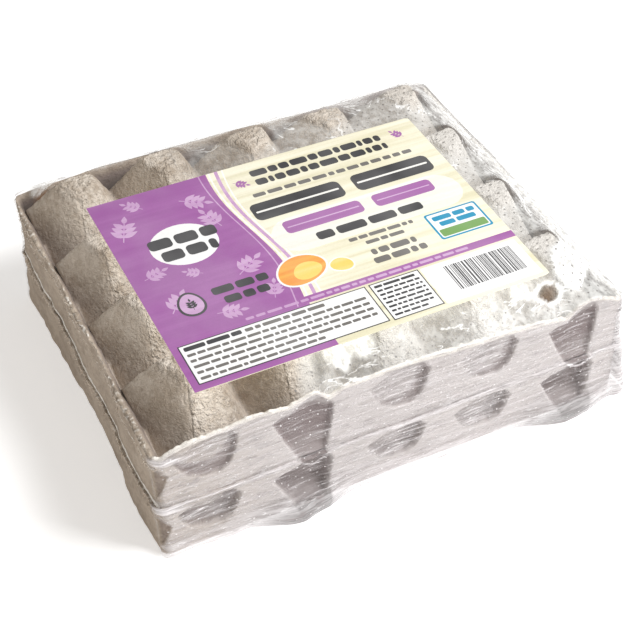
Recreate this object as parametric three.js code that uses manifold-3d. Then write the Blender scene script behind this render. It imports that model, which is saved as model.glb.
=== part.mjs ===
// Shut egg pack: two stacked moulded-pulp trays, a pulp cover with a bump over every cell,
// a printed label lying on the bumps and a clear film drawn over the top, front, back and right end.
// Millimetres, +Z up, origin at the middle of the underside, +X along the five cells.
import * as THREE from "three";
import { mergeVertices } from "three/addons/utils/BufferGeometryUtils.js";
import Module from "manifold-3d";

// ---- driving dimensions -------------------------------------------------------------------------
const PITCH = 57;                 // cell spacing, both ways
const COLS = 5;                   // cells along X
const ROWS = 4;                   // cells along Y
const GAP = 0.3;                  // clearance between touching pieces

const TRAY_LENGTH = 299;          // tray outline along X, at the rim
const TRAY_WIDTH = 241;           // tray outline along Y, at the rim
const TRAY_CORNER = 7;            // corner radius of the outline
const CORNER_STEPS = 4;
const SIDE_STEP = 21;             // spacing of the outline points along a straight side
const DRAFT = 2.2;                // how far a tray's foot stands inside its rim
const FOOT_CHAMFER = 2.4;
const LOWER_TOP = 40;             // rim of the lower tray
const RIM_END = 81;               // rim of the upper tray at its two ends
const RIM_LONG = 85;              // rim of the upper tray along the front and back
const RIM_THICK = 4.4;
const POCKET_FLOOR = 55;          // floor that the cover rests on
const CORNER_BLEND = 26;          // length over which the rim height changes at a corner

const BUMP_TOP = 103.4;
const BUMP_SQUARE = 4.6;          // exponent of the bump outline, higher is squarer
const BUMP_BLUNT = 0.3;           // part of the half pitch that the rounded top takes
const BUMP_SLOPE = 42;            // drop over half a pitch along a straight face
const BUMP_STEPS = 8;             // grid cells across one bump
const FLANGE_LEVEL = 66;

const RECESS_DEPTH = 16;
const RECESS_SHRINK = 0.62;       // size of a recess at its inner end
const RECESS_SETBACK = 4;         // the cutter starts this far outside the wall

const LABEL_SIZE = [217, 167];
const LABEL_MIDDLE = [-10.5, -22.5];
const LABEL_THICK = 0.5;

const FILM_THICK = 0.5;
const FILM_TOUCH = 0.3;           // part of the half pitch over which the film lies on a bump
const FILM_SAG = 86;              // level of the film between the bumps and over the rim
const FILM_FOOT = 0.6;            // lower edge of the film above the underside
const FILM_END_OPENING = [228, 74];

// Recess outlines on a long wall: X from the cell centre, height as a share of the wall.
const SCOOP = [[-21, 0.76], [-15, 0.46], [-6, 0.36], [4, 0.31], [10, 0.38], [14, 0.56],
  [14.5, 0.78], [10, 0.92], [-3, 0.92], [-14, 0.87]];
const NOTCH = [[-23, 0.75], [-14, 0.38], [-6.5, 0.03], [-5, -0.06], [6, -0.06], [8.5, 0.1], [11, 0.4],
  [13.5, 0.82], [10, 1.04], [3, 1.12], [-6, 1.03], [-14, 0.87]];
const FRONT_RECESSES = [SCOOP, NOTCH, SCOOP, SCOOP, NOTCH];

// ---- helpers ------------------------------------------------------------------------------------
const wasm = await Module();
wasm.setup();

// Points round a rectangle with rounded corners, counter-clockwise seen from above.
function outline(length, width, radius) {
  const points = [];
  const corners = [[1, 1, 0], [-1, 1, 1], [-1, -1, 2], [1, -1, 3]];
  const arcEnd = (corner, step) => {
    const [sx, sy, quarter] = corners[corner];
    const angle = (quarter + step / CORNER_STEPS) * Math.PI / 2;
    return [sx * (length / 2 - radius) + radius * Math.cos(angle),
      sy * (width / 2 - radius) + radius * Math.sin(angle)];
  };
  for (let corner = 0; corner < 4; corner++) {
    for (let step = 0; step <= CORNER_STEPS; step++) points.push(arcEnd(corner, step));
    const from = arcEnd(corner, CORNER_STEPS);
    const to = arcEnd((corner + 1) % 4, 0);
    const span = Math.hypot(to[0] - from[0], to[1] - from[1]);
    const pieces = Math.round((corner % 2 ? TRAY_WIDTH : TRAY_LENGTH) / SIDE_STEP);
    for (let k = 1; k < pieces && span > 0; k++) {
      points.push([from[0] + (to[0] - from[0]) * k / pieces, from[1] + (to[1] - from[1]) * k / pieces]);
    }
  }
  return points;
}

// A closed body through rings of equal point counts; the first faces down, the last faces up.
function loft(rings) {
  const count = rings[0].length;
  const positions = [];
  const faces = [];
  rings.forEach((ring) => ring.forEach((p) => positions.push(...p)));
  for (let r = 0; r + 1 < rings.length; r++) {
    for (let i = 0; i < count; i++) {
      const j = (i + 1) % count;
      const a = r * count + i, b = r * count + j, c = a + count, d = b + count;
      faces.push(a, b, d, a, d, c);
    }
  }
  const cap = (ring, offset, up) => {
    const middle = [0, 1, 2].map((k) => ring.reduce((sum, p) => sum + p[k], 0) / count);
    const hub = positions.length / 3;
    positions.push(...middle);
    for (let i = 0; i < count; i++) {
      const j = (i + 1) % count;
      faces.push(hub, offset + (up ? i : j), offset + (up ? j : i));
    }
  };
  cap(rings[0], 0, false);
  cap(rings[rings.length - 1], (rings.length - 1) * count, true);
  return { positions, faces };
}

const solid = ({ positions, faces }) => new wasm.Manifold(new wasm.Mesh({
  numProp: 3, vertProperties: new Float32Array(positions), triVerts: new Uint32Array(faces),
}));

function geometry({ positions, faces }) {
  const result = new THREE.BufferGeometry();
  result.setAttribute("position", new THREE.Float32BufferAttribute(positions, 3));
  result.setIndex(faces);
  result.computeVertexNormals();
  return result;
}

function solidGeometry(body) {
  const mesh = body.getMesh();
  return geometry({ positions: Array.from(mesh.vertProperties), faces: Array.from(mesh.triVerts) });
}

const group = new THREE.Group();
function add(name, shape, color, roughness) {
  const material = new THREE.MeshStandardMaterial({ color, roughness, metalness: 0 });
  const mesh = new THREE.Mesh(shape, material);
  mesh.name = name;
  group.add(mesh);
}

// ---- trays --------------------------------------------------------------------------------------
const level = (points, z) => points.map(([x, y]) => [x, y, z]);
const smooth = (t) => { const c = Math.min(1, Math.max(0, t)); return c * c * (3 - 2 * c); };

// Height of the upper rim: the two long sides stand a little higher than the ends.
const rimHeight = ([x]) => RIM_END + (RIM_LONG - RIM_END)
  * smooth((TRAY_LENGTH / 2 - Math.abs(x)) / CORNER_BLEND);

// A tapering plug that cuts one recess, lying along Y and pointing into the wall: the front wall for
// turn 1, and the back wall, as the front one turned half round, for turn -1.
function recessCutter(shape, cellX, turn, base, height) {
  const middleX = shape.reduce((sum, p) => sum + p[0], 0) / shape.length;
  const middleZ = shape.reduce((sum, p) => sum + p[1], 0) / shape.length;
  const ring = (depth, size) => shape.map(([x, share]) => [
    turn * (cellX + middleX + (x - middleX) * size),
    turn * (depth - TRAY_WIDTH / 2),
    base + height * (middleZ + (share - middleZ) * size),
  ]);
  return solid(loft([ring(RECESS_DEPTH, RECESS_SHRINK), ring(DRAFT, 1), ring(-RECESS_SETBACK, 1)]));
}

function cutRecesses(body, base, height) {
  let result = body;
  for (const turn of [1, -1]) {
    FRONT_RECESSES.forEach((shape, column) => {
      const cellX = (column - (COLS - 1) / 2) * PITCH;
      result = result.subtract(recessCutter(shape, cellX, turn, base, height));
    });
  }
  return result;
}

function trayRings(base, top) {
  const foot = outline(TRAY_LENGTH - 2 * DRAFT, TRAY_WIDTH - 2 * DRAFT, TRAY_CORNER);
  const sole = outline(TRAY_LENGTH - 2 * (DRAFT + FOOT_CHAMFER), TRAY_WIDTH - 2 * (DRAFT + FOOT_CHAMFER),
    TRAY_CORNER);
  const rim = outline(TRAY_LENGTH, TRAY_WIDTH, TRAY_CORNER);
  return [level(sole, base), level(foot, base + FOOT_CHAMFER), rim.map((p) => [...p, top(p)])];
}

const lowerTray = solid(loft(trayRings(0, () => LOWER_TOP)));
add("tray_lower", solidGeometry(cutRecesses(lowerTray, 0, LOWER_TOP)), 0xb8afa3, 0.95);

const upperBase = LOWER_TOP + GAP;
const pocket = outline(TRAY_LENGTH - 2 * RIM_THICK, TRAY_WIDTH - 2 * RIM_THICK, TRAY_CORNER - 2);
const upperRings = trayRings(upperBase, rimHeight);
upperRings.push(pocket.map((p) => [...p, rimHeight(p)]), level(pocket, POCKET_FLOOR));
const upperTray = solid(loft(upperRings));
add("tray_upper", solidGeometry(cutRecesses(upperTray, upperBase, RIM_LONG - upperBase)), 0xbcb3a7, 0.95);

// ---- cover --------------------------------------------------------------------------------------
const EDGE_SLACK = 1e-6;
const cellOf = (value, cells) => Math.min(cells - 1, Math.max(0, Math.floor(value / PITCH + cells / 2)));
const local = (value, cells) => 2 * (value / PITCH + cells / 2 - cellOf(value, cells)) - 1;
const beyond = (value, cells) => Math.abs(value) > cells * PITCH / 2 + EDGE_SLACK;

// A closed body with a flat base and a top over the grid of stations xs by ys.
function heightBody(xs, ys, heightAt, base) {
  const positions = [];
  const faces = [];
  for (const y of ys) for (const x of xs) positions.push(x, y, heightAt(x, y));
  const at = (i, j) => j * xs.length + i;
  for (let j = 0; j + 1 < ys.length; j++) {
    for (let i = 0; i + 1 < xs.length; i++) {
      const a = at(i, j), b = at(i + 1, j), c = at(i + 1, j + 1), d = at(i, j + 1);
      const midX = local((xs[i] + xs[i + 1]) / 2, COLS);
      const midY = local((ys[j] + ys[j + 1]) / 2, ROWS);
      if (midX * midY > 0) faces.push(a, b, c, a, c, d);
      else faces.push(a, b, d, b, c, d);
    }
  }
  const border = [];
  for (let i = 0; i + 1 < xs.length; i++) border.push(at(i, 0));
  for (let j = 0; j + 1 < ys.length; j++) border.push(at(xs.length - 1, j));
  for (let i = xs.length - 1; i > 0; i--) border.push(at(i, ys.length - 1));
  for (let j = ys.length - 1; j > 0; j--) border.push(at(0, j));
  const foot = positions.length / 3;
  border.forEach((v) => positions.push(positions[3 * v], positions[3 * v + 1], base));
  const hub = positions.length / 3;
  positions.push(0, 0, base);
  border.forEach((v, k) => {
    const next = (k + 1) % border.length;
    faces.push(foot + k, foot + next, border[next], foot + k, border[next], v);
    faces.push(hub, foot + next, foot + k);
  });
  return solid({ positions, faces });
}

// Stations along one axis: the shares of every cell (-1 to 1), and one more at each end.
function stations(cells, shares, half) {
  const list = [-half];
  for (let cell = 0; cell < cells; cell++) {
    for (const share of shares) list.push((cell + (share + 1) / 2 - cells / 2) * PITCH);
  }
  list.push(cells * PITCH / 2, half);
  return list;
}

const prism = (inset, radius, low, high) => {
  const ring = outline(TRAY_LENGTH - 2 * inset, TRAY_WIDTH - 2 * inset, radius);
  return solid(loft([level(ring, low), level(ring, high)]));
};

// Height of a blunt four-sided bump; along and across run from -1 to 1 over one cell.
function bumpHeight(along, across) {
  const r = (Math.abs(along) ** BUMP_SQUARE + Math.abs(across) ** BUMP_SQUARE) ** (1 / BUMP_SQUARE);
  const fall = r < BUMP_BLUNT ? r * r / (2 * BUMP_BLUNT) : r - BUMP_BLUNT / 2;
  return BUMP_TOP - BUMP_SLOPE * fall;
}

const coverInset = RIM_THICK + GAP;
const bumpShares = Array.from({ length: BUMP_STEPS }, (_, i) => 2 * i / BUMP_STEPS - 1);
const coverHeight = (x, y) => (beyond(x, COLS) || beyond(y, ROWS) ? FLANGE_LEVEL
  : bumpHeight(local(x, COLS), local(y, ROWS)));
const coverBody = heightBody(
  stations(COLS, bumpShares, TRAY_LENGTH / 2 - coverInset),
  stations(ROWS, bumpShares, TRAY_WIDTH / 2 - coverInset),
  coverHeight, POCKET_FLOOR + GAP);
const coverPlug = prism(coverInset, TRAY_CORNER - 2, POCKET_FLOOR, BUMP_TOP + 1);
add("cover", solidGeometry(coverBody.intersect(coverPlug)), 0xbfb6aa, 0.95);

// ---- film ---------------------------------------------------------------------------------------
// A skin that touches the bump tops, sags between them and hangs down the walls: the difference of
// two quilted bodies, open underneath and at the left end.
function quilt(offset, foot) {
  const sag = (x, y) => {
    const reach = Math.max(Math.abs(local(x, COLS)), Math.abs(local(y, ROWS)));
    const flat = !beyond(x, COLS) && !beyond(y, ROWS) && reach < FILM_TOUCH + EDGE_SLACK;
    return (flat ? BUMP_TOP : FILM_SAG) + offset;
  };
  const shares = [-1, -FILM_TOUCH, FILM_TOUCH];
  const body = heightBody(
    stations(COLS, shares, TRAY_LENGTH / 2 + offset),
    stations(ROWS, shares, TRAY_WIDTH / 2 + offset), sag, foot);
  return body.intersect(prism(-offset, TRAY_CORNER + offset, foot - 1, BUMP_TOP + offset + 1));
}
const filmOutside = quilt(GAP + FILM_THICK, FILM_FOOT);
const filmInside = quilt(GAP, FILM_FOOT - 1);
const [openWide, openHigh] = FILM_END_OPENING;
const openingBox = new THREE.BoxGeometry(4 * RIM_THICK, openWide, 2 * openHigh);
openingBox.translate(-TRAY_LENGTH / 2, 0, 0);
openingBox.deleteAttribute("normal");
openingBox.deleteAttribute("uv");
const merged = mergeVertices(openingBox);
const opening = solid({ positions: merged.attributes.position.array, faces: merged.index.array });
add("film", solidGeometry(filmOutside.subtract(filmInside).subtract(opening)), 0xe8e4ea, 0.2);

// ---- label --------------------------------------------------------------------------------------
const labelBase = BUMP_TOP + 2 * GAP + FILM_THICK;
const label = new THREE.BoxGeometry(LABEL_SIZE[0], LABEL_SIZE[1], LABEL_THICK);
label.translate(LABEL_MIDDLE[0], LABEL_MIDDLE[1], labelBase + LABEL_THICK / 2);
add("label", label, 0x9c5fae, 0.5);

export default group;
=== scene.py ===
"""A shut pack of eggs: two moulded-pulp trays, a bumped pulp cover, clear film and a printed label.

Shapes are worked out in millimetres on numpy grids and turned into meshes in metres. The front long
side is -Y, the bare end is -X, and the trays stand on z = 0.
"""

import math

import bpy
import numpy as np
from mathutils import Matrix, Vector


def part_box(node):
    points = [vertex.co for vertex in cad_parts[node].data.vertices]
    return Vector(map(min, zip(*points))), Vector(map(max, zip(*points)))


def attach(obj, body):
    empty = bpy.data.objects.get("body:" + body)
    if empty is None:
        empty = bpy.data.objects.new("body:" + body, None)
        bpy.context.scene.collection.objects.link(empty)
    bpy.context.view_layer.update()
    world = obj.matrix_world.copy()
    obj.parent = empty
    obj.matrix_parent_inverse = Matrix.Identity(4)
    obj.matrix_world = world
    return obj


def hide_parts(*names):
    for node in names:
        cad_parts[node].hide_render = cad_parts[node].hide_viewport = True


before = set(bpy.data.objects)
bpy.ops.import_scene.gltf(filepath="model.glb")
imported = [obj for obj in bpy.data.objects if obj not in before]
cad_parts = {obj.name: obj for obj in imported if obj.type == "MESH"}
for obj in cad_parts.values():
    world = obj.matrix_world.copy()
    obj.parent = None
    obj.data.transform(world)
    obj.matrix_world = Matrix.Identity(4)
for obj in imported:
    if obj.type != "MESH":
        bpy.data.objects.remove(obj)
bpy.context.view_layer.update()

MM = 0.001
# Spacing of the cells, which lie in columns along X and rows along Y.
PITCH = 57.0
COLUMNS, ROWS = 5, 4


def box_mm(node):
    """Lowest and highest corner of a node, in millimetres."""
    return [np.array(corner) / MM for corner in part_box(node)]


LOWER_BOX, UPPER_BOX, COVER_BOX = (box_mm(n) for n in ("tray_lower", "tray_upper", "cover"))
LABEL_BOX, FILM_BOX = box_mm("label"), box_mm("film")
HALF_LENGTH, HALF_WIDTH = UPPER_BOX[1][:2]
# Height of the upper tray's rim along its long walls, and where it is lower at the ends.
RIM_LONG = UPPER_BOX[1][2]
RIM_END = RIM_LONG - 4.0
# Top of the lower tray and underside of the upper one.
TIER_LEVEL, UPPER_BASE = LOWER_BOX[1][2], UPPER_BOX[0][2]
BUMP_TOP = COVER_BOX[1][2]
# The upper tray's rim leaves a little room round the cover.
RIM_THICK = HALF_LENGTH - COVER_BOX[1][0] - 0.3
LABEL_MIDDLE, LABEL_HALF = (LABEL_BOX[0] + LABEL_BOX[1]) / 2, (LABEL_BOX[1] - LABEL_BOX[0]) / 2


# ---- numbers and noise --------------------------------------------------------------------------
def smooth(low, high, value):
    """0 below low, 1 above high and a soft step between them."""
    t = np.clip((value - low) / (high - low), 0.0, 1.0)
    return t * t * (3.0 - 2.0 * t)


def hill(value, middle, reach):
    """1 at the middle, falling softly to 0 at reach on both sides."""
    return smooth(reach, 0.0, np.abs(value - middle))


def lattice_value(i, j, k, seed):
    """A repeatable random number from 0 to 1 for each whole-numbered point."""
    h = (i * 374761393 + j * 668265263 + k * 2147483647 + seed * 1274126177) & 0xFFFFFFFF
    h = ((h ^ (h >> 13)) * 1103515245) & 0xFFFFFFFF
    h = ((h ^ (h >> 16)) * 69069) & 0xFFFFFFFF
    return ((h ^ (h >> 15)) & 0xFFFFFF) / float(0xFFFFFF)


def noise(points, size, seed):
    """Soft value noise from -1 to 1; size is the grain in millimetres, one number or one per axis."""
    scaled = np.asarray(points, float) / np.asarray(size, float) + 1000.0
    cell = np.floor(scaled).astype(np.int64)
    part = scaled - cell
    part = part * part * (3.0 - 2.0 * part)
    total = 0.0
    for corner in range(8):
        step = np.array([corner & 1, corner >> 1 & 1, corner >> 2])
        weight = np.prod(np.where(step, part, 1.0 - part), axis=-1)
        total = total + weight * lattice_value(*(np.moveaxis(cell + step, -1, 0)), seed)
    return 2.0 * total - 1.0


def layered(points, size, seed, layers=3, fade=0.5):
    """Noise with finer and finer grain added."""
    size = np.asarray(size, float)
    return sum(fade ** n * noise(points, size / 2.1 ** n, seed + 17 * n) for n in range(layers))


def on_plan(x, y):
    """Places on the ground, for noise that doesn't change with height."""
    return np.stack([x, y, np.zeros_like(x)], axis=-1)


def plan_grid(half_x, half_y, step):
    """X and Y of a grid of places over a rectangle round the middle."""
    return np.meshgrid(np.linspace(-half_x, half_x, int(2 * half_x / step)),
                       np.linspace(-half_y, half_y, int(2 * half_y / step)))


def past_label(x, y):
    """Distance in plan past the edge of the label; negative under it."""
    return np.maximum(np.abs(x - LABEL_MIDDLE[0]) - LABEL_HALF[0],
                      np.abs(y - LABEL_MIDDLE[1]) - LABEL_HALF[1])


def past_bare(x, y):
    """How far a place lies right of the slanting line past which film shows over the bumps."""
    return x - 0.65 * (y + 100.0)


def inside_distance(x, z, corners):
    """Distance inside a closed outline in the X-Z plane; negative outside it."""
    corners = np.asarray(corners, float)
    nearest = np.full(x.shape, 1e9)
    inside = np.zeros(x.shape, bool)
    for (ax, az), (bx, bz) in zip(corners, np.roll(corners, -1, axis=0)):
        square = (bx - ax) ** 2 + (bz - az) ** 2
        along = np.clip(((x - ax) * (bx - ax) + (z - az) * (bz - az)) / square, 0, 1)
        away = np.hypot(x - ax - along * (bx - ax), z - az - along * (bz - az))
        nearest = np.minimum(nearest, away)
        if az != bz:
            inside ^= ((az > z) != (bz > z)) & (x < (bx - ax) * (z - az) / (bz - az) + ax)
    return np.where(inside, nearest, -nearest)


# The +X end of the pack leans inwards as it rises from partway up the lower tray.
LEAN = 6.0
LEAN_FROM, LEAN_TO = 20.0, RIM_LONG


def lean_end(points):
    """Points with the +X end drawn in, more so higher up."""
    points = np.array(points, float)
    rise = np.clip((points[..., 2] - LEAN_FROM) / (LEAN_TO - LEAN_FROM), 0, 1)
    points[..., 0] -= LEAN * rise * smooth(95.0, HALF_LENGTH, points[..., 0])
    return points


# ---- meshes -------------------------------------------------------------------------------------
def new_piece(name, points_mm, faces, materials, soft=True, picks=None):
    """A mesh object in metres; picks gives the number of the material of each face."""
    mesh = bpy.data.meshes.new(name)
    mesh.from_pydata((np.asarray(points_mm) * MM).tolist(), [], [list(map(int, f)) for f in faces])
    for material in materials if isinstance(materials, list) else [materials]:
        mesh.materials.append(material)
    if picks:
        mesh.polygons.foreach_set("material_index", picks)
    mesh.polygons.foreach_set("use_smooth", [soft] * len(mesh.polygons))
    mesh.update()
    piece = bpy.data.objects.new(name, mesh)
    bpy.context.scene.collection.objects.link(piece)
    return piece


def belongs(piece, node=None):
    """Hand a piece over to the frame; node is the CAD node that it stands for."""
    if node:
        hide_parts(node)
    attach(piece, "root")


def set_shades(piece, **shades):
    """Numbers for each point of a piece, read by its material under their names."""
    for name, values in shades.items():
        layer = piece.data.attributes.new(name, "FLOAT", "POINT")
        layer.data.foreach_set("value", np.asarray(values, np.float32).ravel())


def grid_faces(rows, columns, wrap=False, start=0):
    """Quads of a grid of points stored row by row; wrap joins the last column to the first."""
    i = np.arange(columns if wrap else columns - 1)
    j = np.arange(rows - 1)[:, None]
    right = (i + 1) % columns
    quads = np.stack([j * columns + i, j * columns + right,
                      (j + 1) * columns + right, (j + 1) * columns + i], axis=-1)
    return (quads + start).reshape(-1, 4).tolist()


def grid_edge(rows, columns):
    """Indices round the edge of a grid, counter-clockwise from its first point."""
    return np.concatenate([np.arange(columns - 1), np.arange(rows - 1) * columns + columns - 1,
                           rows * columns - 1 - np.arange(columns - 1),
                           (rows - 1 - np.arange(rows - 1)) * columns])


def rounded_outline(half_length, half_width, radius, step):
    """Points and outward normals round a rectangle with rounded corners, from the middle of -X,
    counter-clockwise seen from above."""
    quarter = math.pi / 2 * radius
    span_x, span_y = half_length - radius, half_width - radius
    runs = [("line", (-half_length, 0), (0, -1), span_y),
            ("arc", (-span_x, -span_y), math.pi, quarter),
            ("line", (-span_x, -half_width), (1, 0), 2 * span_x),
            ("arc", (span_x, -span_y), 1.5 * math.pi, quarter),
            ("line", (half_length, -span_y), (0, 1), 2 * span_y),
            ("arc", (span_x, span_y), 0.0, quarter),
            ("line", (span_x, half_width), (-1, 0), 2 * span_x),
            ("arc", (-span_x, span_y), 0.5 * math.pi, quarter),
            ("line", (-half_length, span_y), (0, -1), span_y)]
    total = sum(run[3] for run in runs)
    count = int(round(total / step))
    points, normals = [], []
    for place in np.arange(count) * step * total / (step * count):
        for kind, origin, heading, length in runs:
            if place <= length:
                break
            place -= length
        if kind == "line":
            points.append(np.array(origin) + place * np.array(heading))
            normals.append((heading[1], -heading[0]))
        else:
            angle = heading + place / radius
            normals.append((math.cos(angle), math.sin(angle)))
            points.append(np.array(origin) + radius * np.array(normals[-1]))
    return np.array(points), np.array(normals, float)


# ---- shader building ----------------------------------------------------------------------------
class Nodes:
    """Short calls for placing and joining shader or geometry nodes in one tree."""

    def __init__(self, tree):
        self.tree = tree

    def add(self, kind, links=None, **settings):
        node = self.tree.nodes.new(kind)
        for key, value in settings.items():
            setattr(node, key, value)
        for socket, value in (links or {}).items():
            self.feed(node.inputs[socket], value)
        return node

    def feed(self, socket, value):
        if isinstance(value, bpy.types.NodeSocket):
            self.tree.links.new(value, socket)
        else:
            socket.default_value = value

    def math(self, operation, *values, clamp=False):
        node = self.add("ShaderNodeMath", operation=operation, use_clamp=clamp)
        for socket, value in zip(node.inputs, values):
            self.feed(socket, value)
        return node.outputs[0]

    def times(self, first, second, clamp=False):
        return self.math("MULTIPLY", first, second, clamp=clamp)

    def times_plus(self, first, second, third):
        """first times second, plus third."""
        return self.math("MULTIPLY_ADD", first, second, third)

    def mix(self, amount, first, second):
        """The first colour, turned into the second as amount goes from 0 to 1."""
        node = self.add("ShaderNodeMix", data_type="RGBA")
        self.feed(node.inputs["Factor"], amount)
        self.feed(node.inputs[6], first)
        self.feed(node.inputs[7], second)
        return node.outputs[2]

    def remap(self, value, low, high, to_low=0.0, to_high=1.0):
        """A soft step from to_low to to_high as value goes from low to high."""
        node = self.add("ShaderNodeMapRange", {"Value": value, "From Min": low, "From Max": high,
                                               "To Min": to_low, "To Max": to_high})
        node.interpolation_type = "SMOOTHSTEP"
        return node.outputs[0]

    def noise(self, where, scale, detail=3.0, roughness=0.55, stretch=None):
        if stretch:
            where = self.add("ShaderNodeMapping", {"Vector": where, "Scale": stretch}).outputs[0]
        node = self.add("ShaderNodeTexNoise", {"Vector": where, "Scale": scale, "Detail": detail,
                                               "Roughness": roughness})
        return node.outputs[0]

    def group(self, tree, **values):
        """A node group with its inputs fed by name."""
        return self.add("ShaderNodeGroup", values, node_tree=tree).outputs

    def position(self):
        return self.add("ShaderNodeTexCoord").outputs["Object"]

    def shade(self, name):
        """A number that the mesh carries for each of its points."""
        return self.add("ShaderNodeAttribute", attribute_name=name).outputs["Fac"]

    def relief(self, shader, height, strength, distance):
        """Bumps on a shader; distance is in metres."""
        node = self.add("ShaderNodeBump", {"Height": height, "Strength": strength, "Distance": distance})
        self.feed(shader.inputs["Normal"], node.outputs[0])


# What the node group of a surface gives back.
SURFACE = {"Color": "Color", "Roughness": "Float", "Height": "Float"}


def surface_group(name, **inputs):
    """An empty node group for a surface; inputs are the types of its sockets by name."""
    tree = bpy.data.node_groups.new(name, "ShaderNodeTree")
    for direction, sockets in (("INPUT", inputs), ("OUTPUT", SURFACE)):
        for title, kind in sockets.items():
            tree.interface.new_socket(title, in_out=direction, socket_type=f"NodeSocket{kind}")
    nodes = Nodes(tree)
    return nodes, tree.nodes.new("NodeGroupInput").outputs, tree.nodes.new("NodeGroupOutput").inputs


def new_material(name):
    """A material, the helper for its nodes and its main shader."""
    material = bpy.data.materials.new(name)
    material.use_nodes = True
    nodes = Nodes(material.node_tree)
    return material, nodes, material.node_tree.nodes["Principled BSDF"]


# ---- pulp ---------------------------------------------------------------------------------------
FIBRE_TINT = (0.8, 0.75, 0.68, 1)
PORE_TINT = (0.25, 0.2, 0.15, 1)
SPECK_TINT = (0.17, 0.12, 0.08, 1)
# Dark tint for shade painted into recesses, creases, the tray pocket and faces turned from the lamp.
PAINTED_SHADE_TINT = (0.2, 0.16, 0.158, 1)
STAIN_TINT = (0.36, 0.2, 0.1, 1)
FLUFF_TINT = (0.87, 0.83, 0.77, 1)


def pulp_surface():
    """Colour, roughness and bump height of moulded pulp: mottles, fibres, specks and pores."""
    nodes, given, out = surface_group("pulp_surface", Position="Vector", Light="Color", Dark="Color",
                                      Fibres="Float", Grain="Float")
    place = given["Position"]
    mottle = nodes.times_plus(nodes.noise(place, 240.0, 4.0, 0.7), 0.5,
                              nodes.times(nodes.noise(place, 40.0, 4.0), 0.5))
    base = nodes.mix(nodes.remap(mottle, 0.38, 0.6), given["Dark"], given["Light"])
    fibre = nodes.math("MAXIMUM", nodes.noise(place, 260.0, 3.0, 0.6, stretch=(1.0, 0.22, 1.0)),
                       nodes.noise(place, 300.0, 3.0, 0.6, stretch=(0.25, 1.0, 0.8)))
    pale = nodes.times(nodes.remap(fibre, 0.58, 0.76), given["Fibres"])
    pore = nodes.remap(nodes.noise(place, 420.0, 2.0), 0.64, 0.76)
    cell = nodes.add("ShaderNodeTexVoronoi", {"Vector": place, "Scale": 150.0}, feature="F1")
    speck = nodes.times(nodes.remap(cell.outputs["Distance"], 0.2, 0.1),
                        nodes.remap(nodes.noise(place, 60.0, 1.0), 0.54, 0.62))
    for mark, share, tint in ((pale, 0.5, FIBRE_TINT), (pore, 0.5, PORE_TINT), (speck, 0.6, SPECK_TINT)):
        base = nodes.mix(nodes.times(mark, share), base, tint)
    nodes.feed(out["Color"], base)
    nodes.feed(out["Roughness"], nodes.remap(fibre, 0.3, 0.8, 0.98, 0.86))
    lumps = nodes.math("ABSOLUTE", nodes.times_plus(nodes.noise(place, 190.0, 3.0, 0.6), 2.0, -1.0))
    grain = nodes.times(nodes.times_plus(lumps, -2.0, nodes.noise(place, 480.0, 4.0, 0.7)), given["Grain"])
    nodes.feed(out["Height"], nodes.times_plus(fibre, given["Fibres"], grain))
    return nodes.tree


def pulp_material(name, light, dark, wrapped, fibres, grain, bump, calm):
    """Pulp in one shade. Mesh attributes mark what changes over it: "press" where the mould left it
    smooth, "wrapped" where film clings and whitens it, one mark for shade painted into recesses,
    creases, the pocket and faces turned from the lamp, "stain" for spots and "fluff" on torn edges.
    Calm is how far the film evens out the relief below it."""
    material, nodes, shader = new_material(name)
    press, under_film = nodes.shade("press"), nodes.shade("wrapped")
    skin = nodes.group(PULP_SURFACE, Position=nodes.position(), Light=light, Dark=dark, Fibres=fibres,
                       Grain=grain)
    crumbs = nodes.times_plus(nodes.noise(nodes.position(), 420.0, 3.0), 0.9,
                              nodes.math("SUBTRACT", nodes.shade("fluff"), 0.45))
    tint = nodes.mix(nodes.times(press, 0.4), skin["Color"], dark)
    # The painted-shade mark turns the pulp towards a dark tint: shade painted into recesses, creases, the
    # pocket and faces turned from the lamp.
    for mark, over in ((nodes.times(under_film, 0.9), wrapped), (nodes.shade("hollow"), PAINTED_SHADE_TINT),
                       (nodes.remap(crumbs, 0.35, 0.6), FLUFF_TINT), (nodes.shade("stain"), STAIN_TINT)):
        tint = nodes.mix(mark, tint, over)
    nodes.feed(shader.inputs["Base Color"], tint)
    nodes.feed(shader.inputs["Roughness"], skin["Roughness"])
    shader.inputs["Specular IOR Level"].default_value = 0.2
    height = nodes.times(skin["Height"], nodes.remap(press, 0.0, 1.0, 1.0, 0.4))
    height = nodes.times(height, nodes.times_plus(under_film, -calm, 1.0))
    nodes.relief(shader, height, bump, 0.0012)
    return material


PULP_SURFACE = pulp_surface()
COVER_PULP = pulp_material("pulp_cover", (0.76, 0.68, 0.59, 1), (0.46, 0.38, 0.3, 1), (0.76, 0.735, 0.7, 1),
                           fibres=0.8, grain=1.2, bump=1.0, calm=0.2)
TRAY_PULP = pulp_material("pulp_tray", (0.58, 0.49, 0.39, 1), (0.38, 0.31, 0.24, 1), (0.62, 0.585, 0.58, 1),
                          fibres=0.7, grain=0.9, bump=0.6, calm=0.85)
FIBRE_PULP = pulp_material("pulp_fibre", (0.88, 0.78, 0.67, 1), (0.74, 0.65, 0.55, 1), (0.8, 0.78, 0.74, 1),
                           fibres=0.5, grain=0.4, bump=0.3, calm=0.0)


# ---- cover --------------------------------------------------------------------------------------
COVER_STEP = 0.95
# Bumps are blunt and four-sided, with long front slopes and steep right sides.
BUMP_SQUARE = 5.0
BUMP_BLEND, BUMP_ROUND = 19.0, 5.0
# The left, front, right and back side of a bump: the way it faces in degrees, where it starts as a
# share of half a pitch from the middle, and its fall in mm over half a pitch.
BUMP_SIDES = [(206, 0.33, 54.0), (296, 0.18, 40.0), (358, 0.3, 60.0), (94, 0.4, 50.0)]
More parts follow.
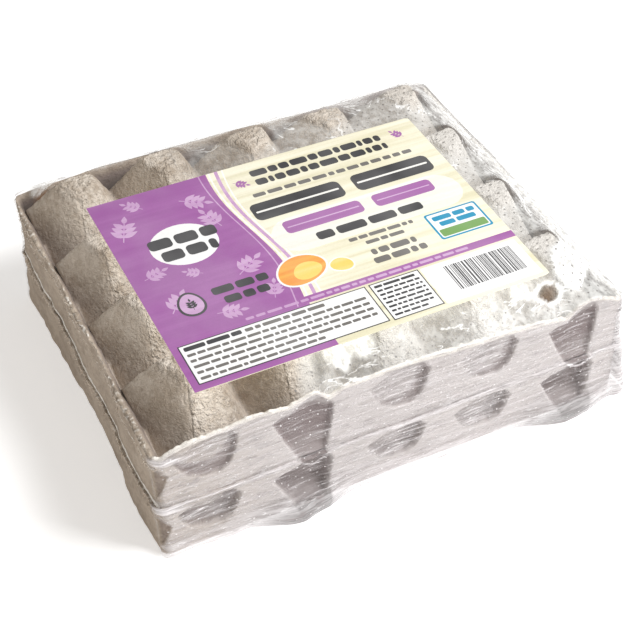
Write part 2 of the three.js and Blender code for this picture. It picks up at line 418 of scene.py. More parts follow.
# How far bumps stray from their cells, as a share of half a pitch, and in height in mm.
BUMP_STRAY, BUMP_LIFT = 0.05, 0.5
FLANGE_LEVEL = 70.0
VALLEY_LEVEL = 61.0
# Bumps stay under the label.
HIGHEST = BUMP_TOP + 0.2
# The brown spot round the tear: its middle and reach.
STAIN_PLACE, STAIN_REACH = (100.0, -104.0), 9.0


def one_bump(x, y, column, row, sway):
    """Height of one bump, carried on past its cell, and how rough the mould left it."""
    stray_x, stray_y, lift = (noise(np.array([column, row, 0.0]), 1.0, seed) for seed in (3, 5, 8))
    along = (x - (column + 0.5 - COLUMNS / 2) * PITCH + sway[0]) / (PITCH / 2) + BUMP_STRAY * stray_x
    across = (y - (row + 0.5 - ROWS / 2) * PITCH + sway[1]) / (PITCH / 2) + BUMP_STRAY * stray_y
    falls = []
    for facing, start, slope in BUMP_SIDES:
        angle = math.radians(facing)
        falls.append(slope * (along * math.cos(angle) + across * math.sin(angle) - start))
    past = sum(np.maximum(fall + BUMP_BLEND, 0.0) ** BUMP_SQUARE for fall in falls) ** (1 / BUMP_SQUARE)
    past = past - BUMP_BLEND
    height = BUMP_TOP + 1.6 + BUMP_LIFT * lift - (past + np.hypot(past, BUMP_ROUND)) / 2
    left, front, right, back = falls
    # Rough caps and front faces; the right and back ones are rough in part and the left ones smooth.
    blur = 1.6 * noise(on_plan(x, y), 7.0, 21)
    cap = smooth(7.0, 0.0, past + blur)
    front_face = smooth(-3.0, 0.5, front - np.maximum(left, right) + blur)
    other_faces = 0.45 * smooth(-4.0, 4.0, np.maximum(right, back) - np.maximum(left, front))
    return height, np.clip(np.maximum(cap, np.maximum(front_face, other_faces)), 0, 1)


def cover_surface(x, y):
    """Height of the cover, how smooth the mould left it and where bumps meet, for grids of places."""
    flow = on_plan(x, y)
    sway = [1.5 * noise(flow, 23.0, seed) for seed in (11, 12)]
    height, second, rough = np.full(x.shape, VALLEY_LEVEL), np.zeros(x.shape), np.zeros(x.shape)
    for column in range(COLUMNS):
        for row in range(ROWS):
            bump, bump_rough = one_bump(x, y, column, row, sway)
            rough = np.where(bump > height, bump_rough, rough)
            second = np.maximum(second, np.minimum(bump, height))
            height = np.maximum(height, bump)
    crease = smooth(4.0, 0.0, height - second)
    # Lumps where it is rough, and fine grain and slow swells all over.
    place = np.stack([x, y, height * 0.8], axis=-1)
    lumps = 1.5 * (np.abs(layered(place, 5.5, 31, 2, 0.7)) - 0.3) + 0.6 * noise(place, 2.2, 33)
    height = height + (0.12 + rough) * lumps + 0.22 * noise(place, 3.0, 41) + 0.6 * noise(flow, 30.0, 42)
    height = np.minimum(height, HIGHEST)
    beyond = np.maximum(np.abs(x) - COLUMNS * PITCH / 2, np.abs(y) - ROWS * PITCH / 2)
    flange = FLANGE_LEVEL + 0.5 * noise(flow, 6.0, 43)
    return np.where(beyond > 0, np.maximum(flange, height), height), 1.0 - rough, crease


def make_cover():
    """The cover as one closed solid: its bumpy top and plain sides down to its foot."""
    x, y = plan_grid(*COVER_BOX[1][:2], COVER_STEP)
    z, press, crease = cover_surface(x, y)
    top = np.stack([x, y, z], axis=-1).reshape(-1, 3)
    ring = grid_edge(*x.shape)
    foot = top[ring] * [1, 1, 0] + [0, 0, COVER_BOX[0][2] + 0.1]
    foot_ring = len(top) + np.arange(len(ring))
    faces = grid_faces(*x.shape)
    faces += np.stack([foot_ring, np.roll(foot_ring, -1), np.roll(ring, -1), ring], axis=-1).tolist()
    faces.append(tuple(foot_ring[::-1]))
    points = np.concatenate([top, foot])
    piece = new_piece("cover_pulp", lean_end(points), faces, COVER_PULP)

    x, y, z = points.T
    under_film = smooth(-64, -48, past_bare(x, y) + 5 * noise(on_plan(x, y), 25.0, 45))
    at_foot = np.zeros(len(ring))
    # Painted shade: in the creases between bumps, on the smooth faces under the film, and on the lower parts
    # of the bumps left bare, more so towards the back.
    calm_faces = np.append(0.24 * smooth(0.6, 1.0, press), at_foot) * under_film
    bare_foot_shade = (0.22 + 0.22 * smooth(-20, 60, y)) * smooth(92, 70, z) * (1 - under_film)
    from_stain = np.hypot(x - STAIN_PLACE[0], (y - STAIN_PLACE[1]) * 1.3)
    set_shades(piece, press=np.append(press, at_foot + 1),
               hollow=np.maximum(np.maximum(np.append(0.35 * crease, at_foot), calm_faces), bare_foot_shade),
               wrapped=(0.93 - 0.4 * smooth(20, 100, y)) * under_film,
               stain=0.62 * hill(from_stain, 0, STAIN_REACH))
    belongs(piece, "cover")


# ---- trays --------------------------------------------------------------------------------------
TRAY_STEP = 1.0
TRAY_CORNER = 5.0
# Inset of the walls' line from the CAD box; the ledge and the lumps are pushed out from that line.
WALL_LINE = 0.6
DRAFT, FOOT_ROUND = 0.6, 0.3
# The ledge where the tool's halves met: its height as a share of the wall, and how far it stands out.
SEAM_SHARE, SEAM_LEDGE = 0.77, 0.6
# How deep a recess may go beside the cover, elsewhere, and at the foot of a wall.
ROOM_BY_COVER, ROOM_DEEP, ROOM_AT_FOOT = 2.8, 8.0, 0.6
WALL_HEIGHT = RIM_LONG - TIER_LEVEL
# Shares of a wall's height that carry points, closer at the foot, the ledge and the rim.
WALL_SHARES = np.concatenate([[0.0, 0.02], np.linspace(0.04, 0.75, 36), [0.76, 0.766, 0.774, 0.785],
                              np.linspace(0.81, 0.95, 7), [0.965, 0.98, 1.0]])
# Rings over the rim: step inwards from the wall, and lift above the rim's line.
RIM_RINGS = [(0.5, 0.4), (1.1, 0.3), (1.7, -0.2), (2.2, -1.8)]
# Recess outlines on a long wall: X from the cell centre, height as a share of the wall.
SCOOP = [(-23, 0.77), (-19, 0.56), (-15, 0.42), (-7, 0.33), (3, 0.3), (9, 0.38), (12.5, 0.54), (14.5, 0.8),
         (10, 0.93), (1, 0.96), (-12, 0.9)]
NOTCH = [(-24, 0.77), (-16.5, 0.4), (-7, -0.04), (8.5, -0.04), (10.5, 0.25), (12, 0.5), (13, 0.8),
         (11, 0.92), (5, 0.98), (-2, 0.97), (-9, 0.9), (-18, 0.85)]
# The recesses of the front wall from left to right, with the step of each off its cell centre.
FRONT_RECESSES = [(SCOOP, -2.0), (NOTCH, -1.0), (SCOOP, 0.0), (SCOOP, 0.0), (NOTCH, 3.0)]
# Step from an opening to the egg cell seen inside it, in the first recess and in the others.
FIRST_CRESCENT, CRESCENT = (-3.0, 9.5), (-6.0, 4.5)
# Rise and fall of the front rim along X.
RIM_WAVES = [(-150, -2), (-139, 1.5), (-91, 2.5), (-72, 0), (-60, 4.5), (-56, 4), (-48, -3), (-39, 2),
             (0, 2), (68, 0.5), (86, -3), (105, -6), (113, 0), (124, 2.5), (139, 1.5), (150, -2)]
TRAY_LINE, TRAY_OUT = rounded_outline(HALF_LENGTH - WALL_LINE, HALF_WIDTH - WALL_LINE, TRAY_CORNER,
                                      TRAY_STEP)


def recess_places(x):
    """Number and outline of each recess in a long wall, and how far right of its middle x lies."""
    for column, (shape, step) in enumerate(FRONT_RECESSES):
        yield column, shape, x - (column - (COLUMNS - 1) / 2) * PITCH - step


def recess(x, share, room):
    """How far a long wall is pushed in, at most by room, how much shade is painted there, where the
    openings are and where the egg cell shows in them. The painted shade is lighter where the egg cell
    shows, leaving a darker crescent along the cell's right side and its foot."""
    depth = np.zeros(np.broadcast(x, share).shape)
    dark, openings, cells = depth.copy(), depth.copy(), depth.copy()
    up = share * WALL_HEIGHT
    for column, shape, across in recess_places(x):
        corners = np.array(shape) * [1, WALL_HEIGHT]
        inward = inside_distance(across, up, corners)
        opening = smooth(-0.5, 0.5, inward)
        seen = np.zeros(opening.shape)
        if shape is NOTCH:
            cell = 8.0 + (across + 2) ** 2 / 50 + 12.0 * hill(share, 0.6, 0.5)
            shade = 0.95 - 0.2 * smooth(0.45, 0.2, share) - 0.5 * smooth(0.72, 0.9, share)
        else:
            cell = 4.0 + (across + 6) ** 2 / 36 + 60.0 * np.clip(0.84 - share, 0, 1) ** 2
            crescent = CRESCENT if column else FIRST_CRESCENT
            seen = smooth(-0.8, 1.2, inside_distance(across, up, corners + crescent)) * opening
            shade = 0.75 - 0.5 * seen if column else 0.8 - 0.58 * seen
        depth = np.maximum(depth, opening * smooth(-0.8, 1.4, inward) * np.minimum(cell, room))
        dark = np.maximum(dark, opening * shade)
        openings, cells = np.maximum(openings, opening), np.maximum(cells, seen)
    return depth, dark, openings, cells


def notch_feet(x, share):
    """Where the notches of the upper tray run on over the top of the lower one."""
    feet = np.zeros(np.broadcast(x, share).shape)
    for _, shape, across in recess_places(x):
        if shape is NOTCH:
            feet = np.maximum(feet, smooth(8.5, 7.5, np.abs(across - 0.75)) * smooth(0.86, 0.9, share))
    return feet


def wall_sides(normal):
    """For points with these normals: -1 on the back wall, whose recesses run the other way, and 1
    elsewhere; whether they are on a long wall; and how far they are on the bare end."""
    turn = np.where(normal[..., 1] > 0, -1.0, 1.0)
    return turn, np.abs(normal[..., 1]) > 0.98, smooth(-0.6, -0.9, normal[..., 0])


def upper_rim(outline):
    """Height of the upper tray's rim, lower at the ends and wavy along the front."""
    blend = smooth(0.0, 26.0, HALF_LENGTH - np.abs(outline[..., 0]))
    waves = np.interp(outline[..., 0], *zip(*RIM_WAVES)) * smooth(0.0, -HALF_WIDTH, outline[..., 1])
    ripple = 1.2 * noise(on_plan(outline[..., 0], outline[..., 1]), 30.0, 61)
    return RIM_END + (RIM_LONG - RIM_END) * blend + waves + ripple


def lower_rim(outline):
    """Height of the lower tray's rim, which is level."""
    return np.full(outline.shape[:-1], TIER_LEVEL)


def kite(x, y, share):
    """The bare facet on the front left corner of each tray, past the edge of the film."""
    widest = 0.58
    reach = np.where(share > widest, 0.3, 0.45)
    width = 8.0 * (1.0 - np.abs(share - widest) / reach)
    return smooth(-0.5, 0.5, width - (x + HALF_LENGTH + 0.5)) * (y < 4.0 - HALF_WIDTH)


def wall_points(outline, normal, share, base, rim):
    """Outward push, height, depth of recesses and the shade painted in them, at shares of a tray wall's
    height.
    """
    z = base + share * (rim - base)
    x = np.broadcast_to(outline[..., 0], z.shape)
    spread = np.stack([x, np.broadcast_to(outline[..., 1], z.shape), z], -1)
    turn, long_side, bare = wall_sides(normal)
    is_upper = base > 0
    room_share = smooth(0.0, 0.15 if is_upper else 0.4, share)
    room = ROOM_AT_FOOT + ((ROOM_BY_COVER if is_upper else ROOM_DEEP) - ROOM_AT_FOOT) * room_share
    room = room - 1.3 * smooth(0.8, 0.9, share) * is_upper
    depth, dark = (value * long_side for value in recess(turn * x, share, room)[:2])
    torn = ((1.0 - 0.5 * bare * is_upper) * smooth(0.3, -0.3, normal[..., 0])
            * smooth(0.5, 0.0, normal[..., 1]))
    ragged = smooth(0.94, 0.985, share) * np.maximum(torn, 0.12)
    seam = share + 0.008 * noise(spread, 25.0, 50)
    push = sum([
        -DRAFT * (1 - share) - FOOT_ROUND * smooth(0.04, 0.0, share),
        SEAM_LEDGE * smooth(SEAM_SHARE - 0.006, SEAM_SHARE + 0.006, seam),
        -1.2 * kite(x, spread[..., 1], share),
        # Warps of the whole wall and fine unevenness, stronger on the bare end.
        (0.7 + 1.3 * bare) * noise(spread, 40.0, 51),
        (0.1 + 0.15 * bare) * noise(spread, 3.2, 52),
        bare * 0.7 * layered(spread, 9.0, 57, 2),
        # Torn rim, the upper tray's foot and crumbs along the ledge.
        ragged * (0.4 + 0.9 * np.abs(layered(spread, 2.8, 53, 2, 0.7))),
        bare * is_upper * smooth(0.08, 0.0, share),
        bare * hill(share, SEAM_SHARE, 0.02) * (0.3 + 0.5 * noise(spread, 2.2, 58))])
    return push - depth, z + ragged * layered(spread * [1, 1, 0.3], 3.6, 54, 2, 0.7), depth, dark


def tray_rings(base, rim, pocket_floor):
    """Rings of points up a tray's wall, over its rim and, where there is a pocket, down into it; then
    the depth of the recesses on the wall and the shade painted in them."""
    push, z, depth, dark = wall_points(TRAY_LINE, TRAY_OUT, WALL_SHARES[:, None], base, rim)
    rows = [np.concatenate([TRAY_LINE + push[..., None] * TRAY_OUT, z[..., None]], -1)]
    for inset, lift in RIM_RINGS:
        ring = np.column_stack([TRAY_LINE - (inset + depth[-1])[:, None] * TRAY_OUT, rim + lift])
        ring[:, 2] += 1.1 * layered(ring, 2.6, 55, 2, 0.7) * smooth(0.6, 0.0, TRAY_OUT[:, 1])
        rows.append(ring[None])
    for level in [] if pocket_floor is None else np.linspace(0.85, 0.0, 9):
        inset = RIM_THICK - 0.1 - 0.4 * level
        ring = np.column_stack([TRAY_LINE - inset * TRAY_OUT, pocket_floor + level * (rim - pocket_floor)])
        ring[:, :2] -= TRAY_OUT * (0.25 * noise(ring, 4.0, 56))[:, None]
        rows.append(ring[None])
    return np.concatenate(rows), depth, dark


def tray_shades(rings, depth, dark, is_upper):
    """The shades of a tray's pulp at each point of its rings."""
    walls, inner = len(WALL_SHARES), len(WALL_SHARES) + len(RIM_RINGS)
    x, facing_y, share = TRAY_LINE[:, 0], TRAY_OUT[:, 1], WALL_SHARES[:, None]
    turn, long_side, bare = wall_sides(TRAY_OUT)
    corner = kite(*TRAY_LINE.T, share)

    press = np.full(rings.shape[:2], 0.9)
    press[:walls] -= 0.9 * smooth(0.9, 0.97, share)
    press[walls:inner] = 0.0

    under_film = smooth(-0.85, -0.3, TRAY_OUT[:, 0]) * (0.6 + 0.4 * smooth(-140, -60, x))
    wrapped = under_film * np.ones((len(rings), 1))
    wrapped[:walls] *= 1.0 - corner
    wrapped[walls:] *= 1 - smooth(0.3, 0.9, facing_y) * smooth(80, 20, x)
    wrapped[inner:] = 0.0

    # Painted shade: in the recesses, and below the notches on the lower tray; on the bare end, which faces
    # away from the lamp; on the corner kite; on the rim's inner side at the bare end and the back; and all
    # over the pocket.
    if not is_upper:
        dark = np.maximum(0.88 * dark, 0.85 * notch_feet(turn * x, share) * long_side)
    hollow = 0.14 * bare * np.ones_like(wrapped)
    hollow[:walls] = np.maximum(np.maximum(dark, hollow[:walls]), 0.55 * corner)
    hollow[walls + 1:inner] = np.maximum(0.3 * bare, 0.35 * (facing_y > 0.5))
    if not is_upper:
        hollow[walls:inner] = np.maximum(hollow[walls:inner], dark[-1])
    hollow[inner:] = 0.75

    torn = smooth(0.5, -0.2, facing_y)
    fluff = np.zeros_like(wrapped)
    fluff[walls - 3:walls + 2] = 0.8 * torn * (1 - 0.42 * bare) * (1.0 if is_upper else bare)
    if is_upper:
        fluff[walls + 2] = 0.6 * torn * (1 - bare)
        torn_lines = 0.62 * hill(share, SEAM_SHARE + 0.002, 0.026) + 0.8 * smooth(0.06, 0.03, share)
        fluff[:walls] += bare * torn_lines

    from_spot = np.hypot(rings[..., 0] + 132, (rings[..., 1] - 116) * 0.6)
    stain = 0.8 * hill(from_spot, 0, 7.0) * (rings[..., 2] > RIM_END - 12)
    return {"press": press, "wrapped": wrapped, "hollow": hollow, "stain": stain,
            "fluff": fluff * smooth(2.0, 0.5, depth[-1])}


def make_tray(name, node, base, rim, pocket_floor=None):
    """One tray: a drafted wall with recesses in its long sides and a ragged, fibrous rim."""
    rings, depth, dark = tray_rings(base, rim, pocket_floor)
    count = len(TRAY_LINE)
    faces = grid_faces(len(rings), count, wrap=True)
    faces += [tuple(np.arange(count)[::-1]), tuple((len(rings) - 1) * count + np.arange(count))]
    piece = new_piece(name, lean_end(rings.reshape(-1, 3)), faces, TRAY_PULP)
    set_shades(piece, **tray_shades(rings, depth, dark, pocket_floor is not None))
    belongs(piece, node)


# Foot and rim of the trays.
LOWER_TIER = (LOWER_BOX[0][2], lower_rim(TRAY_LINE))
UPPER_TIER = (UPPER_BASE, upper_rim(TRAY_LINE))


# ---- film ---------------------------------------------------------------------------------------
FILM_STEP = 1.5
# How far the edge of the top sheet lies outside the trays, and the room between film and pulp.
FILM_OUT, FILM_GAP = 0.3, 0.5
FILM_CORNER = TRAY_CORNER + FILM_OUT + WALL_LINE
FILM_FOOT = FILM_BOX[0][2]
FILM_ROWS = 74
# How far the film runs round the corners on to the bare end.
LEFT_WRAP = 8.0
SHEET_ROUNDS, SKIRT_ROUNDS = 2600, 900
# Middle of the tear in the top sheet, and half its length and width.
TEAR_PLACE, TEAR_SIZE = (98.0, -108.0), (7.6, 4.6)
# Painted glare on the top sheet, as patches of whiter haze: X, Y, reach and strength.
SHEEN = [(-128.0, 111.0, 12.0, 0.5), (-21.0, -100.0, 13.0, 0.85), (-35.0, -104.0, 9.0, 0.75),
         (120.0, -98.0, 16.0, 0.75), (131.0, -88.0, 12.0, 0.5), (84.0, -104.0, 7.0, 0.4)]
# X of the two places where the hem stands off the front wall.
HEM_LEFT, HEM_RIGHT = -66, 112
# Swelling of the right end: heights and how far it stands out at each.
END_SWELL = ([0, 12, 34, 60, 85], [7.5, 7.5, 4.5, 1.5, 0.0])
# Height of the white fold of film between the tiers.
TIER_FOLD = 41.3


def relax(sheet, obstacle, across, down, pull, rounds, free_sides=False):
    """Draw a sheet tight over an obstacle; its first and last rows stay where they are. Across and
    down are the shares of the tension each way. With free sides only the first row is held."""
    for _ in range(rounds):
        side = np.pad(sheet, ((0, 0), (1, 1)), mode="edge")
        mean = across * 0.5 * (side[1:-1, :-2] + side[1:-1, 2:]) + down * 0.5 * (sheet[:-2] + sheet[2:])
        body = np.maximum(mean - pull, obstacle[1:-1])
        if free_sides:
            sheet[1:-1] = body
            sheet[-1] = np.maximum(sheet[-2], obstacle[-1])
        else:
            sheet[1:-1, 1:-1] = body[:, 1:-1]
    return sheet


def spread_highs(values):
    """Each value raised to the highest of its neighbours."""
    wide = np.pad(values, 1, mode="edge")
    rows, columns = values.shape
    return np.max([wide[j:j + rows, i:i + columns] for j in range(3) for i in range(3)], axis=0)


def film_sheet():
    """The top sheet: plan grid with rounded corners, drawn over the bumps and the rim; and how far it
    hangs clear of them."""
    half_x, half_y = HALF_LENGTH + FILM_OUT, HALF_WIDTH + FILM_OUT
    x, y = plan_grid(half_x, half_y, FILM_STEP)
    past_x = np.maximum(np.abs(x) - half_x + FILM_CORNER, 0)
    past_y = np.maximum(np.abs(y) - half_y + FILM_CORNER, 0)
    pull_in = np.maximum(past_x, past_y) / np.maximum(np.hypot(past_x, past_y), 1e-9)
    at_corner = (past_x > 0) & (past_y > 0)
    x = np.where(at_corner, np.sign(x) * (half_x - FILM_CORNER + past_x * pull_in), x)
    y = np.where(at_corner, np.sign(y) * (half_y - FILM_CORNER + past_y * pull_in), y)
    cover = cover_surface(x, y)[0]
    rim = upper_rim(np.stack([x, y], -1)) + 1.3
    edge = np.maximum(np.abs(x) - COVER_BOX[1][0], np.abs(y) - COVER_BOX[1][1])
    obstacle = spread_highs(np.where(edge > -1.0, np.maximum(rim, cover), cover)) + FILM_GAP
    z = relax(obstacle.copy(), obstacle, 0.4, 0.6, 0.0, SHEET_ROUNDS)
    flow = on_plan(x, y)
    loose = smooth(0.3, 3.0, z - obstacle)
    z = z + loose * (0.5 * noise(flow, 14.0, 71) + 0.12 * np.abs(layered(flow, (9.0, 5.0, 5.0), 72, 2)))
    z = np.where(past_label(x, y) < 2.0, np.minimum(z, LABEL_BOX[0][2] - 0.25), z)
    over_front_rim = (edge > -4.0) & (y < 0)
    return x, y, z, np.where(over_front_rim, 9.0, z - obstacle)


def film_shades(x, y, clear):
    """How milky the top sheet is: clear over the left bumps, whiter towards the right and front and
    where it hangs free between bumps."""
    flow = on_plan(x, y)
    haze = sum([
        0.02 + 0.05 * smooth(-66, -50, x) + 0.05 * smooth(0, 125, x + 0.2 * y),
        0.03 * noise(flow, 18.0, 81) * smooth(-80, 0, x),
        # Between bumps, along the back, at the right end and on the very back edge.
        (0.12 + 0.12 * smooth(-20, 20, x)) * smooth(1.5, 9.0, clear) * smooth(-62, -40, x),
        0.09 * smooth(0, 60, x) * smooth(112, 119, y),
        0.12 * smooth(122, 146, x),
        0.35 * smooth(119.7, 120.7, y),
        # Where it spans the gap from the outer bumps to the rim.
        0.07 * smooth(0.6, 4.0, clear) * smooth(100, 116, x),
        0.12 * smooth(0.6, 4.0, clear) * smooth(100, 112, y) * smooth(-110, -90, x)])
    # Painted glare: the film turns whiter in each listed patch.
    for place_x, place_y, reach, amount in SHEEN:
        away = np.hypot(x - place_x, y - place_y) + 4.0 * noise(flow, 9.0, 84)
        haze = haze + amount * smooth(reach, 0.5 * reach, away)
    return np.clip(haze, 0.02, 0.9)


def skirt_normals(ring):
    """Outward directions in plan round the edge of the top sheet."""
    arm = np.abs(ring) - (np.array([HALF_LENGTH, HALF_WIDTH]) + FILM_OUT - FILM_CORNER)
    normal = np.sign(ring) * np.maximum(arm, 0)
    for axis in (0, 1):
        straight = arm[:, 1 - axis] <= 1e-6
        normal[straight] = np.sign(ring[straight]) * np.eye(2)[axis]
    return normal / np.linalg.norm(normal, axis=1)[:, None]


def skirt_shades(spread, share, normal, opening, cell, below_foot):
    """How milky the sides of the film are, and how much grey shade is painted on them."""
    x, y, z = np.moveaxis(spread, -1, 0)
    front, end = np.clip(-normal[:, 1], 0, 1), np.clip(normal[:, 0], 0, 1)
    hem = smooth(20.0, 2.0, z) * front
    lip = 7.0 * (hill(x, -57, 12) + hill(x, 120, 13)) * front
    fold_line = TIER_FOLD - lip + 0.5 * noise(spread, 12.0, 85)
    fold = hill(z, fold_line, 1.5) * (0.7 + 0.4 * noise(spread, (7.0, 7.0, 3.0), 86)) * (1 + 1.1 * lip / 7)
    # Film bunched at the left corner, along two slanting bands.
    slant = z + 0.17 * (x + HALF_LENGTH)
    bunch = hill(x, -HALF_LENGTH, 24) * front * (hill(slant, 80, 4.5) + hill(slant, 39.5, 4.5))
    bunch = np.clip(bunch * (1.3 + 0.9 * noise(spread, (9.0, 9.0, 1.6), 87)), 0, 1.2)
    haze = 0.27 + 0.05 * noise(spread, (45.0, 45.0, 9.0), 82) + 0.55 * end
    # A clearer band under the fold.
    haze = haze - 0.07 * smooth(1.5, 0.0, np.abs(z - 35.5) - 3.5) * front
    haze = haze * (1 - opening) + opening * (0.07 + 0.2 * cell) + 0.85 * fold + 0.7 * bunch
    standing = 0.4 + hill(x, HEM_LEFT, 44) + hill(x, HEM_RIGHT, 46)
    haze = (haze + 0.5 * hem * standing * (1 - 0.85 * opening)) * (1 - kite(x, y, share)) + 0.4 * below_foot
    # The bare end has only the strips that run round its corners.
    strip = np.where(normal[:, 0] < -0.5, smooth(HALF_WIDTH - LEFT_WRAP, HALF_WIDTH - 1, np.abs(y)), 1.0)
    # Painted grey shade where the hem stands off the front wall and over the notches below the foot; a little
    # grey on the right end too.
    grey = hem * (hill(x, HEM_LEFT, 44) + hill(x, HEM_RIGHT, 48)) + 0.12 * end + 1.5 * below_foot
    return np.clip(haze, 0, 0.95) * strip, np.clip(grey, 0, 1)


def film_skirt(ring, top_z):
    """The sides of the film, from the edge of the top sheet down to the hem. Given back: points,
    outward normals, how milky they are, how much grey shade is painted on them and where dark
    recesses lie behind."""
    normal = skirt_normals(ring)
    outline = ring - (FILM_OUT + WALL_LINE) * normal
    fall = np.concatenate([[0.0, 0.006, 0.014, 0.024], np.linspace(0.036, 1.0, FILM_ROWS)])
    z = top_z + fall[:, None] * (FILM_FOOT - top_z)
    rim = upper_rim(outline)
    share_high = np.clip((z - UPPER_BASE) / (rim - UPPER_BASE), 0, 1)
    share_low = np.clip(z / TIER_LEVEL, 0, 1)
    is_high = z > UPPER_BASE
    obstacle = np.where(is_high, wall_points(outline, normal, share_high, UPPER_BASE, rim)[0],
                        wall_points(outline, normal, share_low, 0.0, lower_rim(outline))[0])
    obstacle[:2] = FILM_OUT + WALL_LINE
    obstacle = spread_highs(obstacle) + FILM_GAP
    obstacle[0] = FILM_OUT + WALL_LINE
    push = relax(obstacle.copy(), obstacle, 0.5, 0.5, 0.012, SKIRT_ROUNDS, free_sides=True)
    push[0] = FILM_OUT + WALL_LINE

    x, y = (np.broadcast_to(outline[:, axis], z.shape) for axis in (0, 1))
    spread = np.stack([x, y, z], -1)
    share = np.where(is_high, share_high, share_low)
    turn, long_side, _ = wall_sides(normal)
    opening, cell = (value * long_side for value in recess(turn * x, share, ROOM_DEEP)[2:])
    opening = np.maximum(opening, notch_feet(turn * x, share_low) * long_side * ~is_high)
    below_foot = opening * smooth(13.0, 8.0, z)
    opening = opening - below_foot

    below = smooth(0.0, 0.03, fall)[:, None]
    loose = 0.35 + 0.65 * smooth(0.3, 3.0, push - obstacle)
    folds = np.abs(layered(spread, (38.0, 38.0, 4.2), 74, 3, 0.6))
    standing = (2.5 + 9.0 * hill(x, HEM_LEFT, 36) + 9.0 * hill(x, HEM_RIGHT, 40)
                + 0.8 * noise(spread, 12.0, 77))
    push = sum([push,
                below * (0.8 * folds * loose + 0.1 * noise(spread, (16.0, 16.0, 2.4), 75)),
                below * 0.5 * noise(spread, (60.0, 60.0, 20.0), 76),
                np.clip(-normal[:, 1], 0, 1) * smooth(20.0, 2.0, z) * standing,
                np.interp(z, *END_SWELL) * smooth(0.1, 0.9, normal[:, 0])])
    points = np.concatenate([outline + push[..., None] * normal, z[..., None]], -1)
    return points, normal, *skirt_shades(spread, share, normal, opening, cell, below_foot), opening


def carries_skirt(ring_points):
    """True for edge points of the top sheet that carry a skirt: all but the open -X side."""
    return (ring_points[:, 0] > -HALF_LENGTH + 0.5) | (np.abs(ring_points[:, 1]) > HALF_WIDTH - LEFT_WRAP)


TOP_MILK = (0.93, 0.93, 0.91, 1)
# Shade and light painted along the folds of the sides: the film runs from the first tint to the second over
# its wrinkles.
FOLD_DARK, FOLD_LIGHT = (0.5, 0.465, 0.47, 1), (0.82, 0.785, 0.795, 1)
# Grey painted as shade where the film stands off the pulp.
STANDING_SHADE_GREY = (0.17, 0.16, 0.158, 1)
# Dark tint for shade painted in the dips between folds.
DIP_SHADE_TINT = (0.3, 0.26, 0.26, 1)
# Near-white tint for highlights painted on the glints.
GLINT_TINT = (0.97, 0.97, 0.97, 1)


